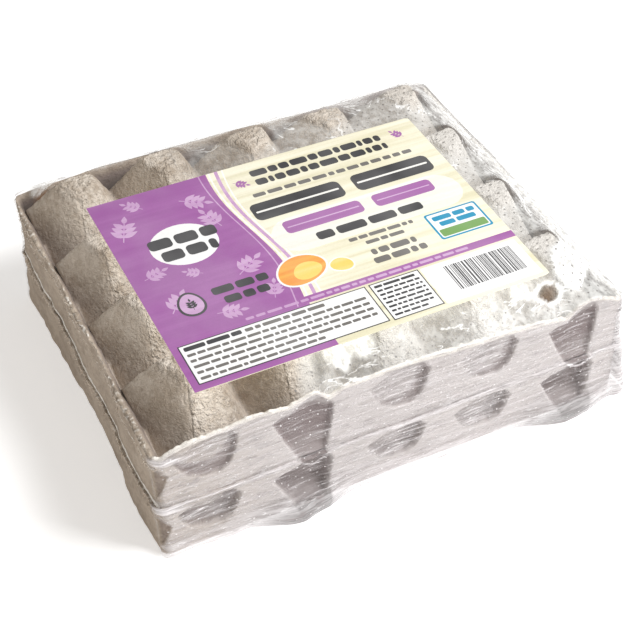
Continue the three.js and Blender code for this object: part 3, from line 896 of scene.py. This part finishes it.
def film_material():
    """Clear film. Mesh attributes: "haze" for how milky it is, "side" for the sides, whose folds run
    level, "tear" for the hole, "grey" for grey shade painted where it stands off the pulp, "recess"
    over dark openings."""
    material, nodes, shader = new_material("film_clear")
    place = nodes.position()
    haze, side, tear, recess_behind = (nodes.shade(name) for name in ("haze", "side", "tear", "recess"))
    long_fold = nodes.noise(place, 1.0, 5.0, 0.62, stretch=(26, 26, 430))
    fine_fold = nodes.noise(place, 1.0, 4.0, 0.6, stretch=(70, 70, 1300))
    crinkle = nodes.noise(place, 1.0, 5.0, 0.65, stretch=(210, 130, 210))
    folds = nodes.times_plus(fine_fold, 0.4, nodes.times(long_fold, 0.6))
    wrinkles = nodes.add("ShaderNodeMix", {0: side, 2: crinkle, 3: folds}, data_type="FLOAT").outputs[0]
    # Painted highlights: thin ridges that turn white in patches. Painted shade: dark dips between them on
    # the sides.
    crest = nodes.noise(place, 1.0, 3.0, 0.5, stretch=(55, 55, 520))
    ridge = nodes.math("SUBTRACT", 1.0, nodes.math("ABSOLUTE", nodes.times_plus(crest, 14.0, -7.0)))
    patches = nodes.remap(nodes.noise(place, 1.0, 3.0, stretch=(60, 60, 150)), 0.52, 0.6)
    dips = nodes.remap(nodes.noise(place, 1.0, 3.0, stretch=(50, 50, 170)), 0.5, 0.42)
    on_side = nodes.math("ADD", nodes.math("SUBTRACT", 1.0, side), recess_behind)
    glint = nodes.times(nodes.times(nodes.remap(ridge, 0.55, 0.95), patches),
                        nodes.remap(on_side, 0, 2, 0.4, 0.9))
    dip = nodes.times(nodes.remap(ridge, 0.3, 0.9), nodes.times(dips, side))
    # How much light it stops: its body, streaks over recesses, glints, dips and the view along it.
    body = nodes.times(haze, nodes.remap(wrinkles, 0.36, 0.64, 0.6, 1.35))
    streak = nodes.times(nodes.remap(folds, 0.5, 0.62), nodes.times(recess_behind, 0.33))
    facing = nodes.add("ShaderNodeLayerWeight", {"Blend": 0.25}).outputs["Facing"]
    edge = nodes.times(nodes.math("POWER", facing, 2.5), 0.3)
    strength = nodes.times(nodes.math("MAXIMUM", glint, nodes.times(dip, 0.5)),
                           nodes.remap(haze, 0.02, 0.2, 0.0, 0.85))
    alpha = nodes.math("ADD", nodes.math("ADD", body, streak), strength)
    alpha = nodes.math("ADD", alpha, nodes.times(edge, nodes.remap(haze, 0, 0.2)))
    alpha = nodes.times(alpha, nodes.math("SUBTRACT", 1.0, tear), clamp=True)
    # Shade and light painted along the folds, following the wrinkles.
    folded = nodes.mix(nodes.remap(wrinkles, 0.38, 0.6), FOLD_DARK, FOLD_LIGHT)
    # Grey shade painted where the film stands off the pulp, broken up along the wrinkles.
    grey = nodes.times(nodes.shade("grey"), nodes.remap(wrinkles, 0.42, 0.58, 1.0, 0.6))
    folded = nodes.mix(grey, folded, STANDING_SHADE_GREY)
    # Painted shade: the film darkens towards the dip tint in the dips.
    milk = nodes.mix(nodes.times(dip, 0.7), nodes.mix(side, TOP_MILK, folded), DIP_SHADE_TINT)
    # Painted highlights: the film turns near white on the glints.
    nodes.feed(shader.inputs["Base Color"], nodes.mix(glint, milk, GLINT_TINT))
    nodes.feed(shader.inputs["Alpha"], alpha)
    shader.inputs["Roughness"].default_value = 0.22
    shader.inputs["IOR"].default_value = 1.5
    nodes.relief(shader, nodes.times(wrinkles, nodes.times_plus(side, 0.6, 0.4)), 0.4, 0.0012)
    return material


def make_film():
    """The film as one surface; gives back the grids of its top and sides for the holes in it."""
    x, y, z, clear = film_sheet()
    sheet = np.stack([x, y, z], -1).reshape(-1, 3)
    ring = np.roll(grid_edge(*x.shape), len(x) // 2)
    ring = ring[carries_skirt(sheet[ring, :2])]
    skirt, normal, skirt_haze, skirt_grey, skirt_recess = film_skirt(sheet[ring, :2], sheet[ring, 2])
    start, count = len(sheet), len(ring)
    faces = grid_faces(*x.shape)
    faces += [(ring[k], start + k, start + k + 1, ring[k + 1]) for k in range(count - 1)]
    faces += [(a, d, c, b) for a, b, c, d in grid_faces(len(skirt) - 1, count, start=start)]
    points = np.concatenate([sheet, skirt[1:].reshape(-1, 3)])
    piece = new_piece("film_wrap", lean_end(points), faces, film_material())

    def top_and_side(top, side):
        return np.append(top, np.broadcast_to(side, skirt.shape[:2])[1:])

    zeros = np.zeros(start)
    on_top = top_and_side(zeros + 1, 0.0)
    oval = np.hypot(*((points[:, axis] - TEAR_PLACE[axis]) / TEAR_SIZE[axis] for axis in (0, 1)))
    oval = oval + 0.15 * noise(points, 4.0, 83)
    haze = top_and_side(film_shades(x, y, clear), skirt_haze) + 0.5 * hill(oval, 1.12, 0.3) * on_top
    set_shades(piece, tear=smooth(1.0, 0.85, oval) * on_top, haze=np.clip(haze, 0, 0.95), side=1 - on_top,
               grey=top_and_side(zeros, skirt_grey), recess=top_and_side(zeros, skirt_recess))
    belongs(piece, "film")
    return sheet.reshape(*x.shape, 3), skirt, normal


# ---- pinholes and fibres: one small shape repeated over places ----------------------------------
def scatter(name, places, facings, build):
    """Repeat a small shape at places (mm), turned along facings, by Geometry Nodes made plain mesh."""
    seeds = bpy.data.meshes.new(name)
    seeds.from_pydata((np.asarray(places) * MM).tolist(), [], [])
    facing = seeds.attributes.new("facing", "FLOAT_VECTOR", "POINT")
    facing.data.foreach_set("vector", np.asarray(facings, np.float32).ravel())
    holder = bpy.data.objects.new(name, seeds)
    bpy.context.scene.collection.objects.link(holder)
    tree = bpy.data.node_groups.new(name, "GeometryNodeTree")
    for direction in ("INPUT", "OUTPUT"):
        tree.interface.new_socket("Geometry", in_out=direction, socket_type="NodeSocketGeometry")
    nodes = Nodes(tree)
    shape, turn, size, material, values = build(nodes)
    given = tree.nodes.new("NodeGroupInput")
    copies = nodes.add("GeometryNodeInstanceOnPoints", {
        "Points": given.outputs["Geometry"], "Instance": shape(given.outputs),
        "Rotation": turn, "Scale": size})
    solid = nodes.add("GeometryNodeRealizeInstances", {0: copies.outputs[0]})
    finish = nodes.add("GeometryNodeSetMaterial", {"Geometry": solid.outputs[0], "Material": material})
    nodes.feed(tree.nodes.new("NodeGroupOutput").inputs[0], finish.outputs[0])
    modifier = holder.modifiers.new(name, "NODES")
    modifier.node_group = tree
    for item in tree.interface.items_tree:
        if item.in_out == "INPUT" and item.name in values:
            modifier[item.identifier] = values[item.name]
    plain = bpy.data.meshes.new_from_object(holder.evaluated_get(bpy.context.evaluated_depsgraph_get()))
    holder.modifiers.clear()
    holder.data = plain
    belongs(holder)


def size_socket(nodes, title, value):
    """An input in millimetres for the shape that is repeated."""
    socket = nodes.tree.interface.new_socket(title, in_out="INPUT", socket_type="NodeSocketFloat")
    socket.default_value = value


def random_value(nodes, low, high, seed):
    """A number of its own for each copy."""
    return nodes.add("FunctionNodeRandomValue", {2: low, 3: high, "Seed": seed},
                     data_type="FLOAT").outputs[1]


def along_facing(nodes, roll=None):
    """The turn that points a shape along its facing, after a roll about its own axis."""
    facing = nodes.add("GeometryNodeInputNamedAttribute", {"Name": "facing"},
                       data_type="FLOAT_VECTOR").outputs[0]
    turn = nodes.add("FunctionNodeAlignRotationToVector", {"Vector": facing}, axis="Z").outputs[0]
    if roll is None:
        return turn
    spin = nodes.add("FunctionNodeAxisAngleToRotation", {"Axis": (0, 0, 1), "Angle": roll}).outputs[0]
    return nodes.add("FunctionNodeRotateRotation", {"Rotation": turn, "Rotate By": spin},
                     rotation_space="LOCAL").outputs[0]


# Spacing of the holes along a row, and of the rows, on the sides and on top.
SIDE_PITCH, SIDE_ROW = 9.0, 6.0
TOP_PITCH, TOP_ROW = 7.5, 4.5
# Holes look dark on top and pale on the sides, where the film hangs off the pulp: name of the piece and
# of its material, darkest and lightest tint, and radius in mm.
TOP_HOLES = ("film_pinholes", "pinhole_dark", (0.12, 0.11, 0.1, 1), (0.34, 0.32, 0.31, 1), 0.58)
SIDE_HOLES = ("film_pinholes_side", "pinhole_pale", (0.75, 0.72, 0.72, 1), (0.95, 0.93, 0.93, 1), 0.42)


def punch(spots, name, material_name, dark, light, radius_mm):
    """One piece that holds the discs of all the holes at these places and facings."""
    material, nodes, shader = new_material(material_name)
    tone = nodes.noise(nodes.position(), 700.0, 2.0)
    nodes.feed(shader.inputs["Base Color"], nodes.mix(tone, dark, light))
    nodes.feed(shader.inputs["Alpha"], nodes.remap(tone, 0.3, 0.7, 0.6, 0.95))
    shader.inputs["Roughness"].default_value = 0.4

    def hole(nodes):
        size_socket(nodes, "Hole size", radius_mm)

        def shape(given):
            radius = nodes.times(given["Hole size"], MM)
            return nodes.add("GeometryNodeMeshCircle", {"Vertices": 8, "Radius": radius},
                             fill_type="NGON").outputs[0]

        size = random_value(nodes, 0.75, 1.3, 4)
        return shape, along_facing(nodes), size, material, {"Hole size": radius_mm}

    places, facings = zip(*spots)
    scatter(name, lean_end(places), facings, hole)


def make_pinholes(sheet, skirt, normal):
    """Small holes in rows over the whole film, left out under the label, in the tear, over the bare
    bumps at the left and on both ends."""
    side_step, side_row, top_step, top_row = (
        int(round(pitch / FILM_STEP)) for pitch in (SIDE_PITCH, SIDE_ROW, TOP_PITCH, TOP_ROW))
    slope_y, slope_x = np.gradient(sheet[..., 2], FILM_STEP)
    rows, columns = sheet.shape[:2]
    spots = []
    for j in range(3, rows - 3, top_row):
        for i in range(3 + (j // top_row) % 2 * 2, columns - 3, top_step):
            x, y, z = sheet[j, i]
            tear = np.hypot((x - TEAR_PLACE[0]) / TEAR_SIZE[0], (y - TEAR_PLACE[1]) / TEAR_SIZE[1])
            if past_label(x, y) >= 2.0 and tear >= 1.4 and past_bare(x, y) >= -60:
                spots.append(((x, y, z + 0.12), (-slope_x[j, i], -slope_y[j, i], 1.0)))
    punch(spots, *TOP_HOLES)
    spots = []
    for j in range(6, len(skirt) - 2, side_row):
        for i in range(2 + (j // side_row) % 2 * 3, len(normal) - 2, side_step):
            if abs(skirt[j, i, 0]) <= HALF_LENGTH - 3:
                spots.append((skirt[j, i] + 0.2 * np.append(normal[i], 0), (*normal[i], 0.02)))
    punch(spots, *SIDE_HOLES)


# Places tried on each tray; those off the bare end or in a recess are left out.
FIBRE_COUNT = 1500
# In millimetres.
FIBRE_SIZE = {"Fibre length": 1.5, "Fibre thickness": 0.12}


def fibre_shape(nodes):
    """A bent, thin, closed strand."""
    for title, value in FIBRE_SIZE.items():
        size_socket(nodes, title, value)

    def shape(given):
        length = nodes.times(given["Fibre length"], MM)

        def along(x, y, z):
            return nodes.add("ShaderNodeCombineXYZ", {
                axis: nodes.times(length, share) for axis, share in zip("XYZ", (x, y, z))}).outputs[0]

        curve = nodes.add("GeometryNodeCurveQuadraticBezier", {
            "Resolution": 4, "Start": (0, 0, -0.0003), "Middle": along(-0.1, 0.2, 0.6),
            "End": along(0.55, 0, 1)})
        section = nodes.add("GeometryNodeCurvePrimitiveCircle", {
            "Resolution": 3, "Radius": nodes.times(given["Fibre thickness"], MM)})
        return nodes.add("GeometryNodeCurveToMesh", {
            "Curve": curve.outputs[0], "Profile Curve": section.outputs[0], "Fill Caps": True}).outputs[0]

    roll = random_value(nodes, 0.0, 6.28, 7)
    return shape, along_facing(nodes, roll), random_value(nodes, 0.5, 1.5, 9), FIBRE_PULP, FIBRE_SIZE


def make_fibres():
    """Loose fibres that stand off the bare end: on both torn rims, and along the upper tray's ledge."""
    places, facings = [], []
    for tier, (base, rim) in enumerate((LOWER_TIER, UPPER_TIER)):
        for number in range(FIBRE_COUNT):
            place, height, lift, sway = (lattice_value(number, tier, k, 91) for k in (1, 2, 3, 4))
            pick = int(place * len(TRAY_LINE))
            on_rim = tier == 0 or number % 4 == 0
            share = 0.965 + 0.035 * height if on_rim else SEAM_SHARE + 0.02 * (height - 0.5)
            out = TRAY_OUT[pick]
            if out[0] > -0.6:
                continue
            here = slice(pick, pick + 1)
            push, z, depth, _ = wall_points(TRAY_LINE[here], TRAY_OUT[here], np.array([[share]]), base,
                                            rim[here])
            if depth[0, 0] > 0.3:
                continue
            sway = 2.4 * (sway - 0.5)
            places.append((*(TRAY_LINE[pick] + (push[0, 0] - 0.1) * out), z[0, 0]))
            facings.append((0.3 * out[0] - sway * out[1], 0.3 * out[1] + sway * out[0], lift - 0.55))
    scatter("rim_fibres", lean_end(places), facings, fibre_shape)


# ---- label --------------------------------------------------------------------------------------
LABEL_CORNER = 1.5
INK_LIFT = 0.05
LABEL_WIDE, LABEL_TALL = (LABEL_BOX[1] - LABEL_BOX[0])[:2]


def paper_group():
    """Printed paper: a breath of uneven ink, paper grain and a scuffed gloss."""
    nodes, given, out = surface_group("printed_paper", Position="Vector", Ink="Color")
    grain = nodes.noise(given["Position"], 900.0, 3.0, 0.6)
    cloud = nodes.noise(given["Position"], 22.0, 3.0)
    worn = nodes.mix(nodes.remap(cloud, 0.3, 0.7, 0.0, 0.08), given["Ink"], (1, 1, 1, 1))
    nodes.feed(out["Color"], nodes.mix(nodes.remap(grain, 0.35, 0.7, 0.0, 0.06), worn, (0.1, 0.1, 0.1, 1)))
    nodes.feed(out["Roughness"], nodes.remap(cloud, 0.3, 0.7, 0.36, 0.52))
    nodes.feed(out["Height"], grain)
    return nodes.tree


def ink(name, colour, streaks=None):
    """A print colour; streaks adds a second colour in long soft streaks."""
    material, nodes, shader = new_material(name)
    place = nodes.position()
    tint = colour
    if streaks:
        run = nodes.noise(place, 1.0, 4.0, 0.6, stretch=(5.0, 150.0, 1.0))
        patch = nodes.noise(place, 1.0, 2.0, 0.5, stretch=(9.0, 30.0, 1.0))
        amount = nodes.remap(nodes.times_plus(run, 0.7, nodes.times(patch, 0.3)), 0.4, 0.62)
        tint = nodes.mix(amount, colour, streaks)
    skin = nodes.group(PAPER, Position=place, Ink=tint)
    nodes.feed(shader.inputs["Base Color"], skin["Color"])
    nodes.feed(shader.inputs["Roughness"], skin["Roughness"])
    nodes.relief(shader, skin["Height"], 0.08, 0.0003)
    return material


PAPER = paper_group()
PAPER_CREAM = ink("paper_cream", (0.94, 0.9, 0.73, 1), (0.76, 0.72, 0.51, 1))
INKS = {name: ink("ink_" + name, *tints) for name, *tints in (
    ("purple", (0.345, 0.115, 0.36, 1), (0.38, 0.135, 0.395, 1)),
    ("lilac", (0.56, 0.33, 0.57, 1), (0.64, 0.42, 0.65, 1)),
    ("white", (0.93, 0.93, 0.93, 1)),
    ("pale", (0.92, 0.915, 0.87, 1), (0.86, 0.85, 0.76, 1)),
    ("dark", (0.045, 0.045, 0.05, 1)),
    ("grey", (0.17, 0.16, 0.15, 1)),
    ("orange", (0.85, 0.33, 0.06, 1), (0.9, 0.5, 0.1, 1)),
    ("yellow", (0.9, 0.66, 0.14, 1), (0.93, 0.74, 0.26, 1)),
    ("blue", (0.02, 0.3, 0.5, 1)),
    ("green", (0.2, 0.38, 0.12, 1)))}


def turned(x, y, along, across, turn):
    """The place that lies along and across a heading from x, y."""
    return (x + along * math.cos(turn) - across * math.sin(turn),
            y + along * math.sin(turn) + across * math.cos(turn))


class Print:
    """Flat printed shapes gathered into one thin mesh, later layers lying over earlier ones. Places are
    in millimetres from the label's lower left corner."""

    def __init__(self):
        self.points, self.faces, self.picks = [], [], []
        self.names = list(INKS)

    def shape(self, outline, colour, layer=1):
        start = len(self.points)
        left, low = LABEL_BOX[0][:2]
        level = LABEL_BOX[1][2] + INK_LIFT * layer
        self.points += [(left + x, low + y, level) for x, y in outline]
        self.faces.append(tuple(range(start, len(self.points))))
        self.picks.append(self.names.index(colour))

    def bar(self, left, low, right, high, colour, layer=1, corner=0.0):
        """A box with rounded corners."""
        corner = min(corner, (high - low) / 2, (right - left) / 2)
        outline = []
        for cx, cy, first in ((right - corner, low + corner, -90), (right - corner, high - corner, 0),
                              (left + corner, high - corner, 90), (left + corner, low + corner, 180)):
            for part in range(5 if corner else 1):
                angle = math.radians(first + part * 22.5)
                outline.append((cx + corner * math.cos(angle), cy + corner * math.sin(angle)))
        self.shape(outline, colour, layer)

    def oval(self, cx, cy, half_wide, half_tall, colour, layer=1, turn=0.0, egg=0.0):
        """An oval; egg narrows its top."""
        angles = [math.tau * part / 36 for part in range(36)]
        self.shape([turned(cx, cy, half_wide * math.cos(angle) * (1 - egg * math.sin(angle)),
                           half_tall * math.sin(angle), turn) for angle in angles], colour, layer)

    def leaf(self, x, y, length, width, turn, colour, layer):
        """A pointed leaf that starts at x, y and grows along turn."""
        outline = []
        for side in (1, -1):
            for part in range(7):
                t = part / 7 if side == 1 else 1 - part / 7
                outline.append(turned(x, y, length * t, side * width * math.sin(math.pi * t ** 0.8), turn))
        self.shape(outline, colour, layer)

    def sprig(self, x, y, size, turn, colour, layer=2):
        """A stem with leaves in pairs and one at its tip."""
        stem = size * 0.02
        self.shape([turned(x, y, along, across, turn) for along, across in (
            (0, -stem), (size, -stem), (size, stem), (0, stem))], colour, layer)
        for share in (0.25, 0.5, 0.75):
            for spread in (0.95, -0.95):
                self.leaf(*turned(x, y, share * size, 0, turn), size * (0.62 - 0.2 * share), size * 0.12,
                          turn + spread, colour, layer)
        self.leaf(*turned(x, y, size, 0, turn), size * 0.4, size * 0.1, turn, colour, layer)

    def words(self, left, right, low, high, colour, seed, layer=2, gap=1.2, shortest=3.0, longest=12.0):
        """A line of plain bars in place of words."""
        x, number = left, 0
        while x < right - shortest * 0.5:
            length = shortest + (longest - shortest) * lattice_value(number, seed, 0, 95)
            stop = min(x + length, right)
            self.bar(x, low, stop, high, colour, layer, corner=(high - low) * 0.3)
            x, number = stop + gap, number + 1


# The purple field: its mean right edge, and where it ends above the boxes at the foot.
FIELD_EDGE, FIELD_LOW = 80.0, 36.0
# Lines along the field's edge: shift from it, width and colour.
FIELD_LINES = [(1.2, 1.0, "white"), (4.4, 2.2, "lilac"), (8.2, 0.9, "white"), (-4.5, 0.8, "lilac")]
# Leaf sprigs on the field: X, Y, size and turn.
FIELD_SPRIGS = [(9, 128, 17, 1.2), (52, 150, 15, -0.5), (30, 152, 11, 2.4), (66, 118, 15, 1.9),
                (8, 92, 12, 0.3), (12, 60, 15, 0.9), (58, 74, 16, 0.6), (34, 50, 13, -0.2),
                (68, 48, 12, 1.2), (40, 84, 9, 2.6)]


def field_edge(y, shift=0.0):
    """Right edge of the purple field, a slow wave from the top of the label to the stripe."""
    return FIELD_EDGE + shift + 5.0 * math.sin((y - 38.0) / 128.0 * math.pi * 1.6 + 0.4 + shift * 0.06)


def print_field(page):
    """The purple field at the left with its sprigs, oval, egg and small bars."""
    levels = [FIELD_LOW + (LABEL_TALL - FIELD_LOW) * k / 40 for k in range(41)]
    for low, high in zip(levels, levels[1:]):
        page.shape([(0, low), (field_edge(low), low), (field_edge(high), high), (0, high)], "purple")
        for shift, wide, colour in FIELD_LINES:
            foot, top = field_edge(low, shift), field_edge(high, shift)
            page.shape([(foot, low), (foot + wide, low), (top + wide, high), (top, high)], colour, 2)
    page.bar(0, 0, 83, FIELD_LOW + 0.2, "purple")
    for sprig in FIELD_SPRIGS:
        page.sprig(*sprig, "lilac")
    page.oval(40, 112, 20.5, 18.0, "white", 3)
    page.words(20, 62, 113, 122, "dark", 1, 4, gap=2.0, shortest=9, longest=16)
    page.words(24, 58, 101, 110, "dark", 2, 4, gap=2.0, shortest=9, longest=16)
    page.oval(24, 63, 8.0, 10.0, "dark", 3, egg=0.15)
    page.oval(24, 63, 6.6, 8.4, "lilac", 4, egg=0.15)
    page.sprig(24, 58, 7.0, 1.57, "dark", 5)
    page.words(38, 72, 64, 70, "dark", 3, 3, gap=1.6, shortest=6, longest=13)
    page.words(42, 70, 55, 61, "dark", 4, 3, gap=1.6, shortest=6, longest=13)


# Lines of small bars on the cream field: left, right, low, high, colour, seed, layer and gap.
FRONT_LINES = [(101, 191, 152.5, 158.5, "dark", 11), (101, 191, 143.5, 149.5, "dark", 12),
               (94, 202, 133.5, 137, "grey", 13, 2, 1.5), (127, 169, 72.3, 75.3, "grey", 15, 2, 1.1),
               (135, 160, 66.4, 69.4, "grey", 16, 2, 1.1), (134, 163, 56.5, 61.5, "grey", 17, 2, 1.4),
               (132, 166, 49.0, 54.0, "grey", 18, 2, 1.4)]
# Eggs: X, Y, half length, half width, colour, layer and turn.
FRONT_EGGS = [(91, 63, 16.5, 12.5, "white", 3, 0.3), (91, 63, 15.2, 11.3, "orange", 4, 0.3),
              (94, 61, 9.0, 6.8, "yellow", 5, 0.3), (114, 57.5, 7.6, 6.2, "white", 3, -0.3),
              (114, 57.5, 6.7, 5.4, "yellow", 4, -0.3)]


def print_front(page):
    """The cream field: broad bars, lines of small ones, eggs and a badge."""
    for x, y, turn in ((88, 152, -0.6), (205, 150, 2.2)):
        page.sprig(x, y, 8, turn, "purple")
    for left, right in ((87, 146), (154, 207)):
        page.bar(left, 112, right, 128, "dark", 2, corner=4.0)
        page.bar(left + 2.2, 119.2, right - 2.2, 120.8, "pale", 3, corner=0.7)
    page.bar(88, 77, 212, 108, "pale", 2.5, corner=15.0)
    for left, right in ((98, 149), (157, 197)):
        page.bar(left, 94, right, 105.5, "purple", 3, corner=3.0)
        page.bar(left + 2.0, 99.2, right - 2.0, 100.2, "lilac", 4, corner=0.4)
    page.words(112, 184, 81.5, 88.5, "dark", 14, 3, gap=2.2, shortest=9, longest=22)
    for line in FRONT_LINES:
        page.words(*line)
    for egg in FRONT_EGGS:
        page.oval(*egg, egg=0.12)
    page.bar(176.5, 51, 211.3, 75, "blue", 2, corner=1.6)
    page.bar(177.8, 52.2, 210.0, 73.8, "white", 3, corner=1.2)
    page.words(180, 208, 67.5, 71.5, "blue", 19, 4, gap=1.4, shortest=7, longest=14)
    page.words(182, 206, 62, 66, "blue", 20, 4, gap=1.4, shortest=7, longest=14)
    page.bar(178.6, 53, 209.2, 59.5, "green", 4, corner=1.0)


def print_foot(page):
    """The stripe, two boxes of small bars and a patch with upright bars."""
    page.bar(79, FIELD_LOW + 0.2, LABEL_WIDE, 41.8, "purple", 2.5)
    page.words(46, 186, 38.0, 40.0, "lilac", 21, 3, gap=1.3, shortest=2.5, longest=9)
    for left, right, low in ((4.0, 116.6, 4.2), (118.8, 150.4, 3.4)):
        page.bar(left, low, right, 34.8, "dark", 3)
        page.bar(left + 0.7, low + 0.7, right - 0.7, 34.1, "white", 4)
    page.words(6.5, 40, 29.6, 32.8, "dark", 22, 5, gap=1.0, shortest=12, longest=17)
    page.words(42, 92, 29.8, 32.4, "grey", 23, 5)
    for row in range(5):
        low = 25.2 - 4.6 * row
        page.words(6.5, 113 - 34 * (row == 4), low, low + 2.1, "grey", 24 + row, 5, gap=0.9, shortest=2.5,
                   longest=9)
    page.words(121, 147, 30.6, 32.6, "dark", 30, 5, gap=0.8)
    for row in range(7):
        low = 27.2 - 3.5 * row
        page.words(121, 148 - 6 * (row == 6), low, low + 1.6, "dark", 31 + row, 5, gap=0.7, shortest=2,
                   longest=6)
    page.bar(151.6, 2.6, 214.0, 34.4, "white", 2, corner=1.0)
    x, number = 164.5, 0
    while x < 207.5:
        wide = 0.35 + 0.95 * lattice_value(number, 0, 3, 96) ** 2
        page.bar(x, 9.5, x + wide, 30.5, "dark", 3)
        x, number = x + wide + 0.35 + 0.8 * lattice_value(number, 1, 3, 96) ** 2, number + 1


def make_label():
    """The label and its print. Neither casts a shadow, so the bumps below stay evenly lit."""
    outline, _ = rounded_outline(LABEL_WIDE / 2, LABEL_TALL / 2, LABEL_CORNER, 3.0)
    count = len(outline)
    low = np.column_stack([outline + LABEL_MIDDLE[:2], np.full(count, LABEL_BOX[0][2])])
    high = low + [0, 0, LABEL_BOX[1][2] - LABEL_BOX[0][2]]
    faces = grid_faces(2, count, wrap=True) + [tuple(np.arange(count)[::-1]), tuple(count + np.arange(count))]
    sheet = new_piece("label_sheet", np.concatenate([low, high]), faces, PAPER_CREAM, soft=False)
    belongs(sheet, "label")
    page = Print()
    for part in (print_field, print_front, print_foot):
        part(page)
    piece = new_piece("label_print", page.points, page.faces, list(INKS.values()), soft=False,
                      picks=page.picks)
    belongs(piece)
    sheet.visible_shadow = piece.visible_shadow = False


# ---- floor, lights, camera ----------------------------------------------------------------------
# The camera stands in front of the left corner and looks down at the middle of the pack.
CAMERA_PLACE = Vector((-288.5, -577.5, 627.6)) * MM
CAMERA_DOWN, CAMERA_HEADING, CAMERA_ROLL = (math.radians(angle) for angle in (43.36, 27.06, 1.04))
SENSOR_WIDTH = 36.0
# Focal length as a share of the width of the frame.
FOCAL_SHARE = 1400 / 640
FLOOR_REACH, FLOOR_DROP = 4000.0, 0.3
FLOOR_GLOW = 0.45
ROOM_TINT, ROOM_POWER = (1.0, 0.94, 0.87, 1), 0.36
# The one lamp, in metres and watts: at the right and in front, aimed at the middle of the pack.
KEY_PLACE, KEY_AIM, KEY_SIZE = (0.85, -0.72, 1.4), (0, 0, 0.04), 0.7
KEY_POWER, KEY_TINT = 35.0, (0.98, 0.99, 1.0)


def place_camera():
    """The scene's camera; its turns are applied from the last to the first."""
    camera = bpy.data.cameras.new("camera")
    camera.sensor_width = SENSOR_WIDTH
    camera.lens = SENSOR_WIDTH * FOCAL_SHARE
    camera.clip_start = 0.01
    holder = bpy.data.objects.new("camera", camera)
    turn = (Matrix.Rotation(-CAMERA_HEADING, 4, "Z") @ Matrix.Rotation(math.pi / 2 - CAMERA_DOWN, 4, "X")
            @ Matrix.Rotation(CAMERA_ROLL, 4, "Z"))
    holder.matrix_world = Matrix.Translation(CAMERA_PLACE) @ turn
    bpy.context.scene.collection.objects.link(holder)
    bpy.context.scene.camera = holder


def place_key_light():
    """A square lamp."""
    light = bpy.data.lights.new("key", "AREA")
    light.shape = "RECTANGLE"
    light.size = light.size_y = KEY_SIZE
    light.energy = KEY_POWER
    light.color = KEY_TINT
    holder = bpy.data.objects.new("key", light)
    holder.location = KEY_PLACE
    holder.rotation_euler = (Vector(KEY_AIM) - Vector(KEY_PLACE)).to_track_quat("-Z", "Y").to_euler()
    bpy.context.scene.collection.objects.link(holder)


def make_stage():
    """A pale floor that glows a little, so it stays light, and an even room light."""
    material, nodes, shader = new_material("pale_floor")
    dust = nodes.noise(nodes.position(), 6.0, 3.0)
    nodes.feed(shader.inputs["Base Color"], nodes.mix(dust, (0.88, 0.88, 0.88, 1), (0.9, 0.9, 0.9, 1)))
    shader.inputs["Roughness"].default_value = 0.9
    shader.inputs["Emission Color"].default_value = (1, 1, 1, 1)
    shader.inputs["Emission Strength"].default_value = FLOOR_GLOW
    corners = [(x * FLOOR_REACH, y * FLOOR_REACH, -FLOOR_DROP)
               for x, y in ((-1, -1), (1, -1), (1, 1), (-1, 1))]
    new_piece("floor", corners, [(0, 1, 2, 3)], material, soft=False)
    world = bpy.data.worlds.new("studio")
    world.use_nodes = True
    background = world.node_tree.nodes["Background"].inputs
    background[0].default_value, background[1].default_value = ROOM_TINT, ROOM_POWER
    bpy.context.scene.world = world
    bpy.context.scene.view_settings.view_transform = "Standard"


place_camera()
place_key_light()
make_stage()
make_cover()
make_tray("tray_lower_pulp", "tray_lower", *LOWER_TIER)
make_tray("tray_upper_pulp", "tray_upper", *UPPER_TIER, pocket_floor=COVER_BOX[0][2])
make_fibres()
make_pinholes(*make_film())
make_label()
